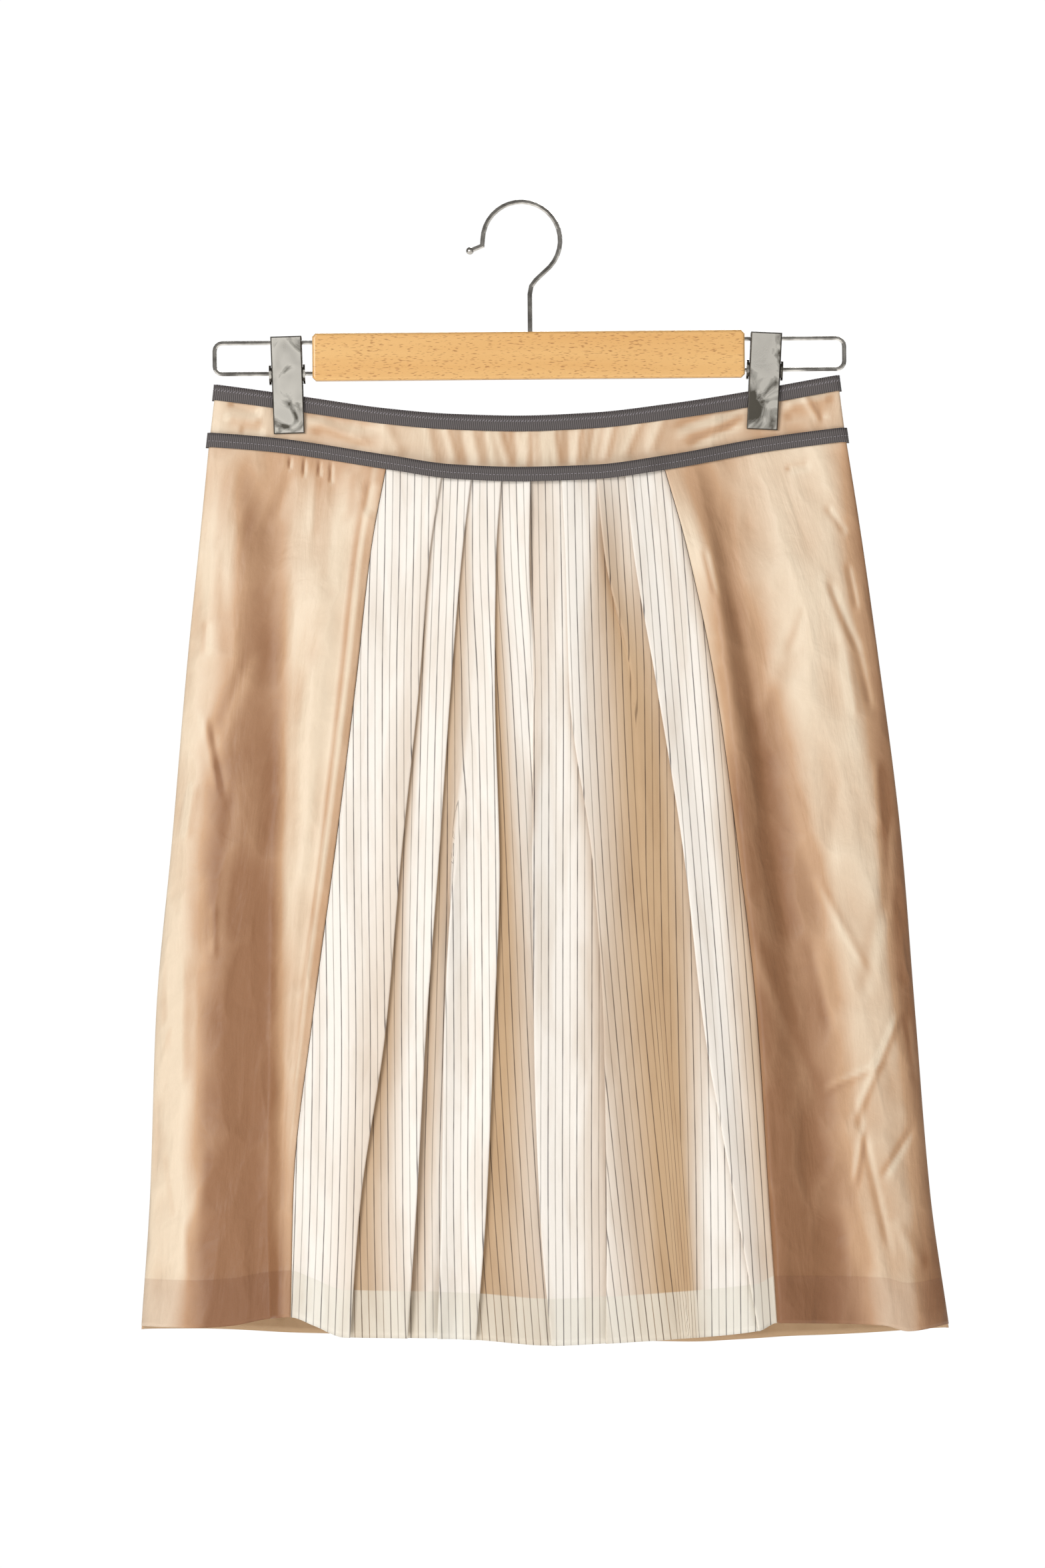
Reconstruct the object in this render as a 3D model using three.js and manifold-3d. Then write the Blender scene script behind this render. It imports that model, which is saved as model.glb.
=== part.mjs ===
// A pleated skirt of tan satin and cream striped cloth, held by the waist in the two clips of a wooden
// hanger. Millimetres, +Z up, the front of the skirt faces -Y. The origin is inside the crown of the hook,
// where it rests on a rail. Cloth is a wall of even thickness through level sections, with its pleats folded.
import * as THREE from 'three';
import { mergeVertices } from 'three/addons/utils/BufferGeometryUtils.js';
import Module from 'manifold-3d';

const wasm = await Module();
wasm.setup();

// Driving dimensions of the hanger
const HOOK_WIRE = 2.6;
const HOOK_RADIUS = 22;
const HOOK_BALL = 4.4;
const SHAFT_X = 4.5;
const CROWN = { from: -43, to: 178, steps: 22 };
const NECK = { bendDown: 30.5, elbowOut: 0.9, elbowDown: 26, slantOut: 3.4, slantDown: 22.6 };
const FLICK = { kinkOut: -0.3, kinkDown: 3.6, tipOut: -7, tipDown: 2.8 };
const BAR = { x: 3.5, length: 245.4, height: 27, depth: 13, top: -72.6, round: 1.6, corner: 1 };
const RAIL_WIRE = 2.4;
const RAIL = { left: -176, right: 184, upper: -77.6, lower: -95.2, corner: 4.5 };
const SEAT = 12;
const SHAFT_SEAT = 18;
const CLEAR = 0.3;
const CLIP = { width: 17.6, height: 55.4, thick: 1.9, bevel: 0.7, top: -74, jaw: 2.02, mouth: 6.3 };
const BARREL = { radius: 4.2, cheek: 5.7, cheekWidth: 1.2, bore: 2.3, sides: 16 };
const CLIPS = [
  { name: 'clip_left', x: -133.6, lean: -1.5 },
  { name: 'clip_right', x: 137.6, lean: 3.1 },
];

// Driving dimensions of the cloth
const BAND_THICK = 1.2;
const RIBBON_THICK = 0.8;
const PANEL_THICK = 1;
const HEM_THICK = 1.5;
const SEAM_GAP = 0.3;
const TOP_RIBBON_WIDTH = 9;
const LOW_RIBBON_WIDTH = 8.2;
const HEM_DEPTH = 26;
const BACK_DROP = 0.5;
const NIP = 1.05;
const STACK = 1.3;
const LOW_STACK = 1.7;
const PLEAT_STACK = 3.5;
const PLEAT_STACK_EASE = 16;
const BAND_DROP = 0.6;
const WAIST_ENDS = [-174.3, 179];
const HEM_SHARE = 1 - HEM_DEPTH / 490;
const HEM_STEP = 0.006;
const CENTRE_BACK = [2, 5];
const SIDE_ROUNDING = 2.6;

// Heights of the waist line and of the lower ribbon's upper edge across the front, and of the two hems
const WAIST = {
  x: [-176, -142, -120, -76, -40, 0, 40, 82, 126, 142, 180],
  waist: [-100.7, -105.6, -109, -115.7, -119, -120.3, -118.9, -114.4, -107.8, -105, -98.4],
  ribbon: [-128.4, -131.5, -134.6, -142.2, -147.8, -149.6, -148.7, -143.4, -135.6, -133.2, -128.6],
};
const HEM = {
  x: [-221, -190, -170, -150, -136, -122, -105, -50, -30, 12, 44, 90, 128, 139, 168, 200, 214, 238],
  front: [-635, -635.5, -634.5, -631, -629.5, -634.5, -641, -642, -643, -646.5, -645.5, -643, -639.5, -635,
    -636, -637.5, -641, -637.5],
  back: [-637, -638, -639, -640, -640.7, -641.5, -642.5, -645, -646, -647.5, -648, -648, -647, -646.5, -645,
    -643, -642, -640],
};

// Lines down the front, as x at these shares of the way from the ribbon to the hem
const SHARES = [0, 0.1, 0.25, 0.45, 0.65, 0.85, 1];
const LINES = {
  sideLeft: [-178.3, -183.6, -191.9, -201.4, -211.4, -215.6, -221.2],
  seamLeft: [-77.2, -86.5, -95.4, -108.3, -121.9, -133.4, -135.6],
  seamRight: [79.2, 92.2, 106.7, 119.5, 129.7, 135.1, 139.3],
  sideRight: [183.2, 190.8, 200.9, 212.9, 220.2, 227.7, 237.6],
};

// Pleats, left to right, at the same shares. edge: x of the fold that shows. turn: how far the cloth turns
// back, in degrees, 180 lying flat, 0 open, positive where the fold faces right. depth: the cloth tucked
// under. round: the radius of the turns. ease: width over which the cloth climbs back, at the top and hem.
const PLEATS = [
  { edge: [-46.4, -54, -60.3, -71.3, -80.9, -96.1, -102.4], turn: [176, 175, 174, 173, 172, 172, 170],
    depth: [9.5, 10, 11, 12, 12.5, 12.5, 12], round: [0.8, 0.8, 0.85, 0.9, 1, 1.1, 1.2], ease: [17, 40] },
  { edge: [-29.7, -35.8, -42.5, -50.1, -58.1, -64.3, -69.8], turn: [176, 175, 174, 172, 165, 140, 110],
    depth: [9.5, 10, 10.5, 11, 9, 6, 4], round: [0.8, 0.8, 0.85, 0.9, 1, 1.1, 1.2], ease: [17, 30] },
  { edge: [-20, -24, -30, -41, -47.2, -49.5, -52.4], turn: [0, 0, 0, -60, -168, -165, -120],
    depth: [3, 3, 4, 6, 7, 7, 7], round: [0.4, 0.4, 0.5, 0.8, 0.9, 1, 1.2], ease: [14, 22] },
  { edge: [-12.7, -16.3, -17.5, -15.7, -19.9, -24.9, -31.2], turn: [176, 175, 174, 173, 172, 172, 170],
    depth: [9.5, 10, 10.5, 12, 12, 11, 9], round: [0.8, 0.8, 0.85, 0.9, 1, 1.1, 1.2], ease: [17, 36] },
  { edge: [3.6, 2.6, 5, 3.4, 3.6, 6.1, 12], turn: [176, 120, -60, -165, -172, -170, -168],
    depth: [9.5, 8, 5, 9, 12, 12, 12], round: [0.8, 0.9, 1, 1, 1, 1.1, 1.2], ease: [17, 34] },
  { edge: [21.8, 23.8, 25.3, 37.7, 43.1, 43.8, 42.6], turn: [-176, -175, -174, -172, -168, -165, -160],
    depth: [9.5, 10, 11, 12, 12, 9, 6], round: [0.8, 0.8, 0.85, 0.9, 1, 1.1, 1.2], ease: [17, 38] },
  { edge: [41.5, 46.3, 61, 66, 75, 84, 90], turn: [-176, -150, -50, -20, -10, -20, -40],
    depth: [9.5, 7, 4, 3, 4, 6, 8], round: [0.8, 0.9, 1, 1.3, 1.6, 1.9, 2], ease: [17, 34] },
  { edge: [57.7, 62.6, 74.5, 89.2, 99.7, 116.3, 128.9], turn: [-176, -175, -174, -173, -172, -170, -165],
    depth: [9.5, 10, 11, 12, 12, 9, 6], round: [0.8, 0.8, 0.85, 0.9, 1, 1, 1], ease: [15, 16] },
];

// Largest soft folds in the front satin: lines down each panel, as x at the shares, and how far the cloth
// stands out there. Each panel has a crest, a deep trough and a second crest.
const LEFT_WAVE = [
  { x: LINES.sideLeft, out: [0, 0, 0, 0, 0, 0, 0] },
  { x: [-168, -168, -176, -187, -191, -197, -201], out: [0, 2, 4, 4.5, 5, 5, 5] },
  { x: [-150, -146, -144, -146, -147, -149, -147.5], out: [0, -2.5, -6, -7.5, -8.5, -8.5, -8.5] },
  { x: [-100, -112, -120, -126.5, -134.5, -140, -142.5], out: [0, 1.8, 3.2, 2.2, 0.6, 0, 0] },
  { x: LINES.seamLeft, out: [0, 0, 0, 0, 0, 0, 0] },
];
const RIGHT_WAVE = [
  { x: LINES.seamRight, out: [0, 0, 0, 0, 0, 0, 0] },
  { x: [91.2, 103.2, 114.7, 123, 132.2, 137.6, 141.8], out: [0, 2.4, 4.5, 3.5, 2.5, 2.5, 2.5] },
  { x: [108, 113, 128, 141, 157, 169, 178], out: [0, -1.5, -4.5, -6, -7.5, -8.5, -8.5] },
  { x: [165, 174, 182, 193, 201, 208, 216], out: [0, 3, 5, 5, 4, 3, 3] },
  { x: LINES.sideRight, out: [0, 0, 0, 0, 0, 0, 0] },
];

// Largest soft folds behind: x at the waist and hem, width, height towards the outside at the shares
const BACK_FOLDS = [
  { from: -140, to: -178, width: 18, height: [0, 1.5, 3.5, 6, 8, 9, 9] },
  { from: -104, to: -136, width: 17, height: [0, -1.5, -4, -6, -7, -8, -8] },
  { from: -62, to: -86, width: 18, height: [0, 1.5, 4, 7, 9, 10, 10] },
  { from: -24, to: -38, width: 16, height: [0, -1, -3, -5, -6, -6, -6] },
  { from: 34, to: 46, width: 18, height: [0, 1.5, 4, 6, 8, 9, 9] },
  { from: 72, to: 94, width: 17, height: [0, -1.5, -4, -7, -8, -9, -9] },
  { from: 110, to: 146, width: 19, height: [0, 1.5, 4, 7, 9, 9, 9] },
  { from: 146, to: 196, width: 16, height: [0, -1, -3, -4, -5, -5, -5] },
];

// Half the depth of the hollow skirt, at distances below the waist line
const BODY = { drop: [0, 30, 110, 250, 400, 540], half: [6, 8.5, 15, 24, 31, 36] };
const NIP_REACH = [24, 120];
const BELL = [11, 60];

// Points across and levels down the cloth's walls
const STRIP_STEPS = 44;
const FRONT_STEPS = 15;
const BACK_STEPS = 22;
const LEVELS = 12;

const clamp01 = (value) => Math.min(1, Math.max(0, value));
const smooth = (value) => clamp01(value) ** 2 * (3 - 2 * clamp01(value));
const mix = (a, b, t) => a + (b - a) * t;
const radians = (degrees) => (degrees * Math.PI) / 180;

// The value at a place in a short table, through its rows by a smooth curve that doesn't overshoot
function follow(places, values, place) {
  const last = places.length - 1;
  const at = Math.min(Math.max(place, places[0]), places[last]);
  let i = 0;
  while (i < last - 1 && at > places[i + 1]) i += 1;
  const rise = (k) => (values[k + 1] - values[k]) / (places[k + 1] - places[k]);
  const slope = (k) => {
    if (k === 0) return rise(0);
    if (k === last) return rise(last - 1);
    const [before, after] = [rise(k - 1), rise(k)];
    return before * after <= 0 ? 0 : (2 * before * after) / (before + after);
  };
  const span = places[i + 1] - places[i];
  const t = (at - places[i]) / span;
  const blend = t * t * (3 - 2 * t);
  return values[i] * (1 - blend) + values[i + 1] * blend
    + span * (slope(i) * t * (1 - t) ** 2 - slope(i + 1) * t * t * (1 - t));
}

const lineAt = (name, share) => follow(SHARES, LINES[name], share);
const waistZ = (x) => follow(WAIST.x, WAIST.waist, x);
const ribbonZ = (x) => follow(WAIST.x, WAIST.ribbon, x);
const panelTopZ = (x) => ribbonZ(x) - LOW_RIBBON_WIDTH / 2 - SEAM_GAP / 2;

// Height of a point of a panel, by its x and its share of the way down
function panelZ(x, share, side) {
  const drop = side === 'back' ? BACK_DROP * (1 - share) : 0;
  return mix(panelTopZ(x), follow(HEM.x, HEM[side], x), share) - drop;
}

// How much the clips pinch the waist at an x
function pinch(x) {
  const from = (clip) => (Math.abs(x - clip.x) - BELL[0]) / (BELL[1] - BELL[0]);
  return Math.max(...CLIPS.map((clip) => 1 - smooth(from(clip))));
}

// The x of the cloth's middle at both side seams
const sidesAt = (share) => ({
  left: lineAt('sideLeft', share) + PANEL_THICK / 2,
  right: lineAt('sideRight', share) - PANEL_THICK / 2,
});

// How far the soft folds stand out at an x, on the front and on the back
const frontSwell = (x, share) => [LEFT_WAVE, RIGHT_WAVE].reduce((sum, wave) => {
  const places = wave.map((line) => follow(SHARES, line.x, share));
  return sum + follow(places, wave.map((line) => follow(SHARES, line.out, share)), x);
}, 0);
const backSwell = (x, share) => BACK_FOLDS.reduce((sum, fold) => {
  const middle = mix(fold.from, fold.to, share);
  return sum + follow(SHARES, fold.height, share) * Math.exp(-(((x - middle) / fold.width) ** 2));
}, 0);

// Distance of the cloth from the middle plane of the skirt, towards the front or the back
function reach(x, z, share, side, { left, right } = sidesAt(share)) {
  const across = Math.min(1, Math.abs((2 * x - left - right) / (right - left)));
  const belly = (1 - across ** SIDE_ROUNDING) ** 0.5;
  const drop = waistZ(x) - z;
  const full = follow(BODY.drop, BODY.half, drop) * belly;
  const held = pinch(x) * (1 - smooth((drop - NIP_REACH[0]) / (NIP_REACH[1] - NIP_REACH[0])));
  const near = Math.max(0, 1 - Math.min(x - left, right - x) / NIP);
  const edge = NIP * Math.sqrt(Math.max(0, 1 - near * near));
  const swell = side === 'front' ? frontSwell(x, share) : backSwell(x, share);
  return mix(Math.hypot(full, edge), edge, held) + swell * Math.min(1, 3 * (1 - across));
}

// The way out of the cloth at a section point: given at an end, or square to its neighbours' line
function outward(points, i) {
  if (points[i].out) return points[i].out;
  const before = points[Math.max(0, i - 1)];
  const after = points[Math.min(points.length - 1, i + 1)];
  const run = Math.hypot(after.x - before.x, after.y - before.y);
  return [(after.y - before.y) / run, -(after.x - before.x) / run];
}

// A closed cloth wall through levels of section points. Each level is {points: [{x, y, z}], thick}, its
// points running counterclockwise seen from above, and the points are the middle of the wall. An end that
// meets the next panel at a seam is cut square: its point gives the outward direction.
function wall(levels) {
  const count = levels[0].points.length;
  const positions = [];
  const corners = [];
  levels.forEach(({ points, thick }) => {
    points.forEach((point, i) => {
      const [nx, ny] = outward(points, i);
      [thick.outer, -thick.inner].forEach((off) => {
        positions.push(point.x + nx * off, point.y + ny * off, point.z);
      });
    });
  });
  const at = (level, i, inner) => 2 * (level * count + i) + inner;
  const quad = (a, b, c, d) => corners.push(a, b, c, a, c, d);
  const bottom = levels.length - 1;
  for (let level = 0; level < bottom; level += 1) {
    for (let i = 0; i < count - 1; i += 1) {
      quad(at(level, i, 0), at(level + 1, i, 0), at(level + 1, i + 1, 0), at(level, i + 1, 0));
      quad(at(level, i, 1), at(level, i + 1, 1), at(level + 1, i + 1, 1), at(level + 1, i, 1));
    }
    quad(at(level, 0, 1), at(level + 1, 0, 1), at(level + 1, 0, 0), at(level, 0, 0));
    quad(at(level, count - 1, 0), at(level + 1, count - 1, 0), at(level + 1, count - 1, 1),
      at(level, count - 1, 1));
  }
  for (let i = 0; i < count - 1; i += 1) {
    quad(at(0, i, 1), at(0, i, 0), at(0, i + 1, 0), at(0, i + 1, 1));
    quad(at(bottom, i, 0), at(bottom, i, 1), at(bottom, i + 1, 1), at(bottom, i + 1, 0));
  }
  const geometry = new THREE.BufferGeometry();
  geometry.setAttribute('position', new THREE.Float32BufferAttribute(positions, 3));
  geometry.setIndex(corners);
  geometry.computeVertexNormals();
  return geometry;
}

// Section points from one x to another round the front or back, closer together at the sides
function spread(from, to, left, right, steps) {
  const turnOf = (x) => Math.acos(Math.min(1, Math.max(-1, (2 * x - left - right) / (left - right))));
  const [a, b] = [turnOf(from), turnOf(to)];
  return Array.from({ length: steps + 1 }, (unused, i) => {
    return (left + right) / 2 + ((left - right) / 2) * Math.cos(mix(a, b, i / steps));
  });
}

// Levels down a panel, with two close together where the turned hem starts
const evenShares = (steps) => {
  const upper = Array.from({ length: steps + 1 }, (unused, i) => (HEM_SHARE - HEM_STEP) * (i / steps));
  return [...upper, HEM_SHARE, 1];
};

const thickAt = (share) => ({
  outer: PANEL_THICK / 2,
  inner: (share > HEM_SHARE - HEM_STEP / 6 ? HEM_THICK : PANEL_THICK) - PANEL_THICK / 2,
});

// The outward direction at the end of a section: sideways at a side seam, straight out at any other seam
function endOut(i, last, x, { left, right }, facing) {
  if (i !== 0 && i !== last) return null;
  if (x < left + 1) return [-1, 0];
  return x > right - 1 ? [1, 0] : [0, facing];
}

// One flat-cut panel between two lines, round the front from left to right or round the back
function panel(fromLine, toLine, side, steps, levels) {
  const facing = side === 'front' ? -1 : 1;
  return wall(evenShares(levels).map((share) => {
    const { left, right } = sidesAt(share);
    const xs = spread(fromLine(share, left, right), toLine(share, left, right), left, right, steps);
    return {
      thick: thickAt(share),
      points: xs.map((x, i) => {
        const z = panelZ(x, share, side);
        const y = Math.max(SEAM_GAP / 2, reach(x, z, share, side));
        return { x, y: facing * y, z, out: endOut(i, steps, x, { left, right }, facing) };
      }),
    };
  }));
}

// The folded front: at each level the cloth runs straight, turns back on itself at each pleat and goes on
const TURN_STEPS = 3;
const FLAT_STEPS = 2;

function pleatAt(pleat, share) {
  const angle = radians(follow(SHARES, pleat.turn, share));
  const depth = follow(SHARES, pleat.depth, share);
  const turn = Math.max(0.02, Math.abs(angle));
  const round = (follow(SHARES, pleat.round, share) * Math.PI) / turn;
  const path = [];
  for (let i = 0; i <= TURN_STEPS; i += 1) {
    const a = (turn * i) / TURN_STEPS;
    path.push([round * Math.sin(a), round * (1 - Math.cos(a))]);
  }
  const [startX, startY] = path[TURN_STEPS];
  const back = [startX + depth * Math.cos(turn), startY + depth * Math.sin(turn)];
  path.push([(startX + back[0]) / 2, (startY + back[1]) / 2]);
  for (let i = 0; i <= TURN_STEPS; i += 1) {
    const a = (turn * (TURN_STEPS - i)) / TURN_STEPS;
    const [ahead, behind] = [Math.sin(turn) - Math.sin(a), Math.cos(a) - Math.cos(turn)];
    path.push([back[0] + round * ahead, back[1] + round * behind]);
  }
  const [across, rise] = path[path.length - 1];
  const facing = Math.max(-1, Math.min(1, angle / radians(90)));
  const middle = follow(SHARES, pleat.edge, share)
    - facing * (round * Math.sin(Math.min(turn, Math.PI / 2)) - across / 2);
  const centred = path.map(([x, y]) => [x - across / 2, y - rise / 2]);
  const shaped = angle >= 0 ? centred : centred.map(([x, y]) => [-x, y]).reverse();
  return {
    points: shaped.map(([x, y]) => [middle + x, y]),
    middle,
    rise: angle >= 0 ? rise : -rise,
    ease: mix(pleat.ease[0], pleat.ease[1], share),
  };
}

function pleatedSection(share) {
  const from = lineAt('seamLeft', share) + SEAM_GAP / 2;
  const to = lineAt('seamRight', share) - SEAM_GAP / 2;
  const folds = PLEATS.map((pleat) => pleatAt(pleat, share));
  const climb = (x) => folds.reduce((sum, fold) => {
    return sum - fold.rise * smooth((x - fold.middle) / fold.ease + 0.5);
  }, 0);
  const path = [];
  let depth = 0;
  const straight = (startX, endX, includeStart) => {
    for (let i = includeStart ? 0 : 1; i < FLAT_STEPS + 1; i += 1) {
      path.push([mix(startX, endX, i / (FLAT_STEPS + 1)), depth]);
    }
  };
  let x = from;
  folds.forEach((fold, number) => {
    straight(x, fold.points[0][0], number === 0);
    fold.points.forEach(([px, py]) => path.push([px, depth + fold.rise / 2 + py]));
    depth += fold.rise;
    x = fold.points[fold.points.length - 1][0];
  });
  straight(x, to, false);
  path.push([to, depth]);
  return path.map(([px, py], i) => {
    const z = panelZ(px, share, 'front');
    const out = endOut(i, path.length - 1, px, sidesAt(share), -1);
    return { x: px, y: -reach(px, z, share, 'front') + py + climb(px), z, out };
  });
}

function pleatedPanel(levels) {
  return wall(evenShares(levels).map((share) => {
    return { thick: thickAt(share), points: pleatedSection(share) };
  }));
}

// Bands and ribbons: strips across the front or back between two heights below the waist line
const bulge = (x) => {
  const [left, right] = [lineAt('seamLeft', 0), lineAt('seamRight', 0)];
  const within = (right - left) / 2 + PLEAT_STACK_EASE / 3 - Math.abs(x - (left + right) / 2);
  return PLEAT_STACK * smooth(within / PLEAT_STACK_EASE);
};

function strip(side, upper, lower, thick, liftAt, steps) {
  const facing = side === 'front' ? -1 : 1;
  const rows = [0, 0.5, 1].map((part) => {
    const level = (x) => mix(upper(x), lower(x), part) - (side === 'back' ? BACK_DROP : 0);
    const sag = (level(0) - waistZ(0)) / (panelTopZ(0) - waistZ(0));
    const left = mix(WAIST_ENDS[0], lineAt('sideLeft', 0), sag) + BAND_THICK / 2;
    const right = mix(WAIST_ENDS[1], lineAt('sideRight', 0), sag) - BAND_THICK / 2;
    const [from, to] = side === 'front' ? [left, right] : [right, left];
    const xs = spread(from, to, left, right, steps);
    return {
      thick: { outer: thick / 2, inner: thick / 2 },
      points: xs.map((x, i) => {
        const z = level(x);
        const body = Math.max(SEAM_GAP / 2, reach(x, z, 0, side, { left, right }));
        return { x, y: facing * body, z, out: endOut(i, steps, x, { left, right }, facing) };
      }),
    };
  });
  return wall(rows.map((row) => ({
    thick: row.thick,
    points: row.points.map((point, i) => {
      const [nx, ny] = outward(row.points, i);
      return { ...point, x: point.x + nx * liftAt(point.x), y: point.y + ny * liftAt(point.x) };
    }),
  })));
}

// Metal and wood
function toSolid(geometry) {
  const bare = geometry.clone();
  ['normal', 'uv'].forEach((name) => bare.deleteAttribute(name));
  const merged = mergeVertices(bare, 1e-4);
  return new wasm.Manifold(new wasm.Mesh({
    numProp: 3,
    vertProperties: new Float32Array(merged.attributes.position.array),
    triVerts: new Uint32Array(merged.index.array),
  }));
}

function fromSolid(solid) {
  const mesh = solid.getMesh();
  const geometry = new THREE.BufferGeometry();
  geometry.setAttribute('position', new THREE.BufferAttribute(new Float32Array(mesh.vertProperties), 3));
  geometry.setIndex([...mesh.triVerts]);
  const faceted = geometry.toNonIndexed();
  faceted.computeVertexNormals();
  return faceted;
}

// The hook turns from its shaft through a slant into three quarters of a circle, then flicks out to a ball
function hookGeometry() {
  const centre = new THREE.Vector3(0, 0, HOOK_WIRE / 2 - HOOK_RADIUS);
  const onArc = (degrees) => new THREE.Vector3(Math.cos(radians(degrees)), 0, Math.sin(radians(degrees)))
    .multiplyScalar(HOOK_RADIUS).add(centre);
  const arc = Array.from({ length: CROWN.steps + 1 }, (unused, i) => {
    return onArc(mix(CROWN.from, CROWN.to, i / CROWN.steps));
  });
  const foot = new THREE.Vector3(SHAFT_X, 0, BAR.top - SHAFT_SEAT + CLEAR);
  const bend = new THREE.Vector3(SHAFT_X, 0, centre.z - NECK.bendDown);
  const elbow = new THREE.Vector3(SHAFT_X + NECK.elbowOut, 0, centre.z - NECK.elbowDown);
  const slant = new THREE.Vector3(SHAFT_X + NECK.slantOut, 0, centre.z - NECK.slantDown);
  const kink = onArc(CROWN.to).add(new THREE.Vector3(FLICK.kinkOut, 0, -FLICK.kinkDown));
  const tip = kink.clone().add(new THREE.Vector3(FLICK.tipOut, 0, -FLICK.tipDown));
  const wire = toSolid(rodThrough([foot, bend, elbow, slant, ...arc, kink, tip], HOOK_WIRE));
  const ball = new THREE.SphereGeometry(HOOK_BALL / 2, 12, 8);
  ball.translate(tip.x, tip.y, tip.z);
  return fromSolid(wire.add(toSolid(ball)));
}

// A wire through a list of corners in one plane, mitred at each of them, closed at both ends
function rodThrough(corners, wire, sides = 10) {
  const positions = [];
  const faces = [];
  const planeNormal = new THREE.Vector3(0, 1, 0);
  corners.forEach((corner, i) => {
    const before = corners[Math.max(0, i - 1)];
    const after = corners[Math.min(corners.length - 1, i + 1)];
    const incoming = corner.clone().sub(before).normalize();
    const outgoing = after.clone().sub(corner).normalize();
    const along = incoming.lengthSq() === 0 ? outgoing : outgoing.lengthSq() === 0 ? incoming
      : incoming.clone().add(outgoing).normalize();
    const side = along.clone().cross(planeNormal).normalize();
    const half = outgoing.lengthSq() === 0 || incoming.lengthSq() === 0 ? 1 : incoming.dot(along);
    for (let k = 0; k < sides; k += 1) {
      const angle = (2 * Math.PI * k) / sides;
      const point = corner.clone()
        .addScaledVector(side, ((wire / 2) * Math.cos(angle)) / half)
        .addScaledVector(planeNormal, (wire / 2) * Math.sin(angle));
      positions.push(point.x, point.y, point.z);
    }
  });
  for (let i = 0; i < corners.length - 1; i += 1) {
    for (let k = 0; k < sides; k += 1) {
      const next = (k + 1) % sides;
      const [a, b, c, d] = [i * sides + k, i * sides + next, (i + 1) * sides + next, (i + 1) * sides + k];
      faces.push(a, c, b, a, d, c);
    }
  }
  const end = (corners.length - 1) * sides;
  for (let k = 1; k < sides - 1; k += 1) {
    faces.push(0, k, k + 1);
    faces.push(end, end + k + 1, end + k);
  }
  const geometry = new THREE.BufferGeometry();
  geometry.setAttribute('position', new THREE.Float32BufferAttribute(positions, 3));
  geometry.setIndex(faces);
  geometry.computeVertexNormals();
  return geometry;
}

function wireLoop(outerX, direction) {
  const barEnd = BAR.x + direction * (BAR.length / 2);
  const inside = barEnd - direction * (SEAT - CLEAR);
  const outer = outerX - direction * (RAIL_WIRE / 2);
  const turn = (fromDegrees, cx, cz) => Array.from({ length: 5 }, (unused, i) => {
    const angle = radians(fromDegrees - i * 22.5);
    const round = new THREE.Vector3(direction * Math.cos(angle), 0, Math.sin(angle));
    return round.multiplyScalar(RAIL.corner).add(new THREE.Vector3(cx, 0, cz));
  });
  return rodThrough([
    new THREE.Vector3(inside, 0, RAIL.upper),
    ...turn(90, outer - direction * RAIL.corner, RAIL.upper - RAIL.corner),
    ...turn(0, outer - direction * RAIL.corner, RAIL.lower + RAIL.corner),
    new THREE.Vector3(inside, 0, RAIL.lower),
  ], RAIL_WIRE);
}

function barGeometry() {
  const outline = new THREE.Shape();
  const [w, h, r] = [BAR.length / 2 - BAR.round, BAR.height / 2 - BAR.round, BAR.corner];
  outline.moveTo(-w + r, -h).lineTo(w - r, -h).lineTo(w, -h + r).lineTo(w, h - r);
  outline.lineTo(w - r, h).lineTo(-w + r, h).lineTo(-w, h - r).lineTo(-w, -h + r);
  outline.closePath();
  const slab = new THREE.ExtrudeGeometry(outline, {
    depth: BAR.depth - 2 * BAR.round, bevelEnabled: true, bevelThickness: BAR.round, bevelSize: BAR.round,
    bevelSegments: 3, steps: 1,
  });
  slab.translate(0, 0, BAR.round - BAR.depth / 2);
  slab.rotateX(Math.PI / 2);
  slab.translate(BAR.x, 0, BAR.top - BAR.height / 2);
  const drill = (radius, length) => new THREE.CylinderGeometry(radius, radius, length, 14);
  const shaftHole = drill(HOOK_WIRE / 2 + CLEAR, 2 * SHAFT_SEAT).rotateX(Math.PI / 2);
  shaftHole.translate(SHAFT_X, 0, BAR.top);
  let solid = toSolid(slab).subtract(toSolid(shaftHole));
  [-1, 1].forEach((direction) => [RAIL.upper, RAIL.lower].forEach((z) => {
    const hole = drill(RAIL_WIRE / 2 + CLEAR, 2 * SEAT).rotateZ(Math.PI / 2);
    hole.translate(BAR.x + direction * (BAR.length / 2), 0, z);
    solid = solid.subtract(toSolid(hole));
  }));
  return fromSolid(solid);
}

// A clip plate with a bevelled rim, its outer face at +Z before it is stood up
function plateGeometry() {
  const [w, h] = [CLIP.width / 2 - CLIP.bevel, CLIP.height / 2 - CLIP.bevel];
  const corners = [[-w, -h], [w, -h], [w, h], [-w, h]];
  const outline = new THREE.Shape(corners.map(([x, z]) => new THREE.Vector2(x, z)));
  const plate = new THREE.ExtrudeGeometry(outline, {
    depth: CLIP.thick - 2 * CLIP.bevel, bevelEnabled: true, bevelThickness: CLIP.bevel, bevelSize: CLIP.bevel,
    bevelSegments: 2, steps: 1,
  });
  plate.translate(0, 0, CLIP.bevel);
  return plate;
}

function barrelGeometry() {
  const half = CLIP.width / 2;
  const [inner, outer] = [half + CLEAR, half + CLEAR + BARREL.cheekWidth];
  const { bore, cheek, radius } = BARREL;
  const profile = [[bore, -outer], [cheek, -outer], [cheek, -inner], [radius, -inner], [radius, inner],
    [cheek, inner], [cheek, outer], [bore, outer], [bore, -outer]];
  const turned = profile.map(([r, along]) => new THREE.Vector2(r, along));
  return new THREE.LatheGeometry(turned, BARREL.sides).rotateZ(Math.PI / 2);
}

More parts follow.
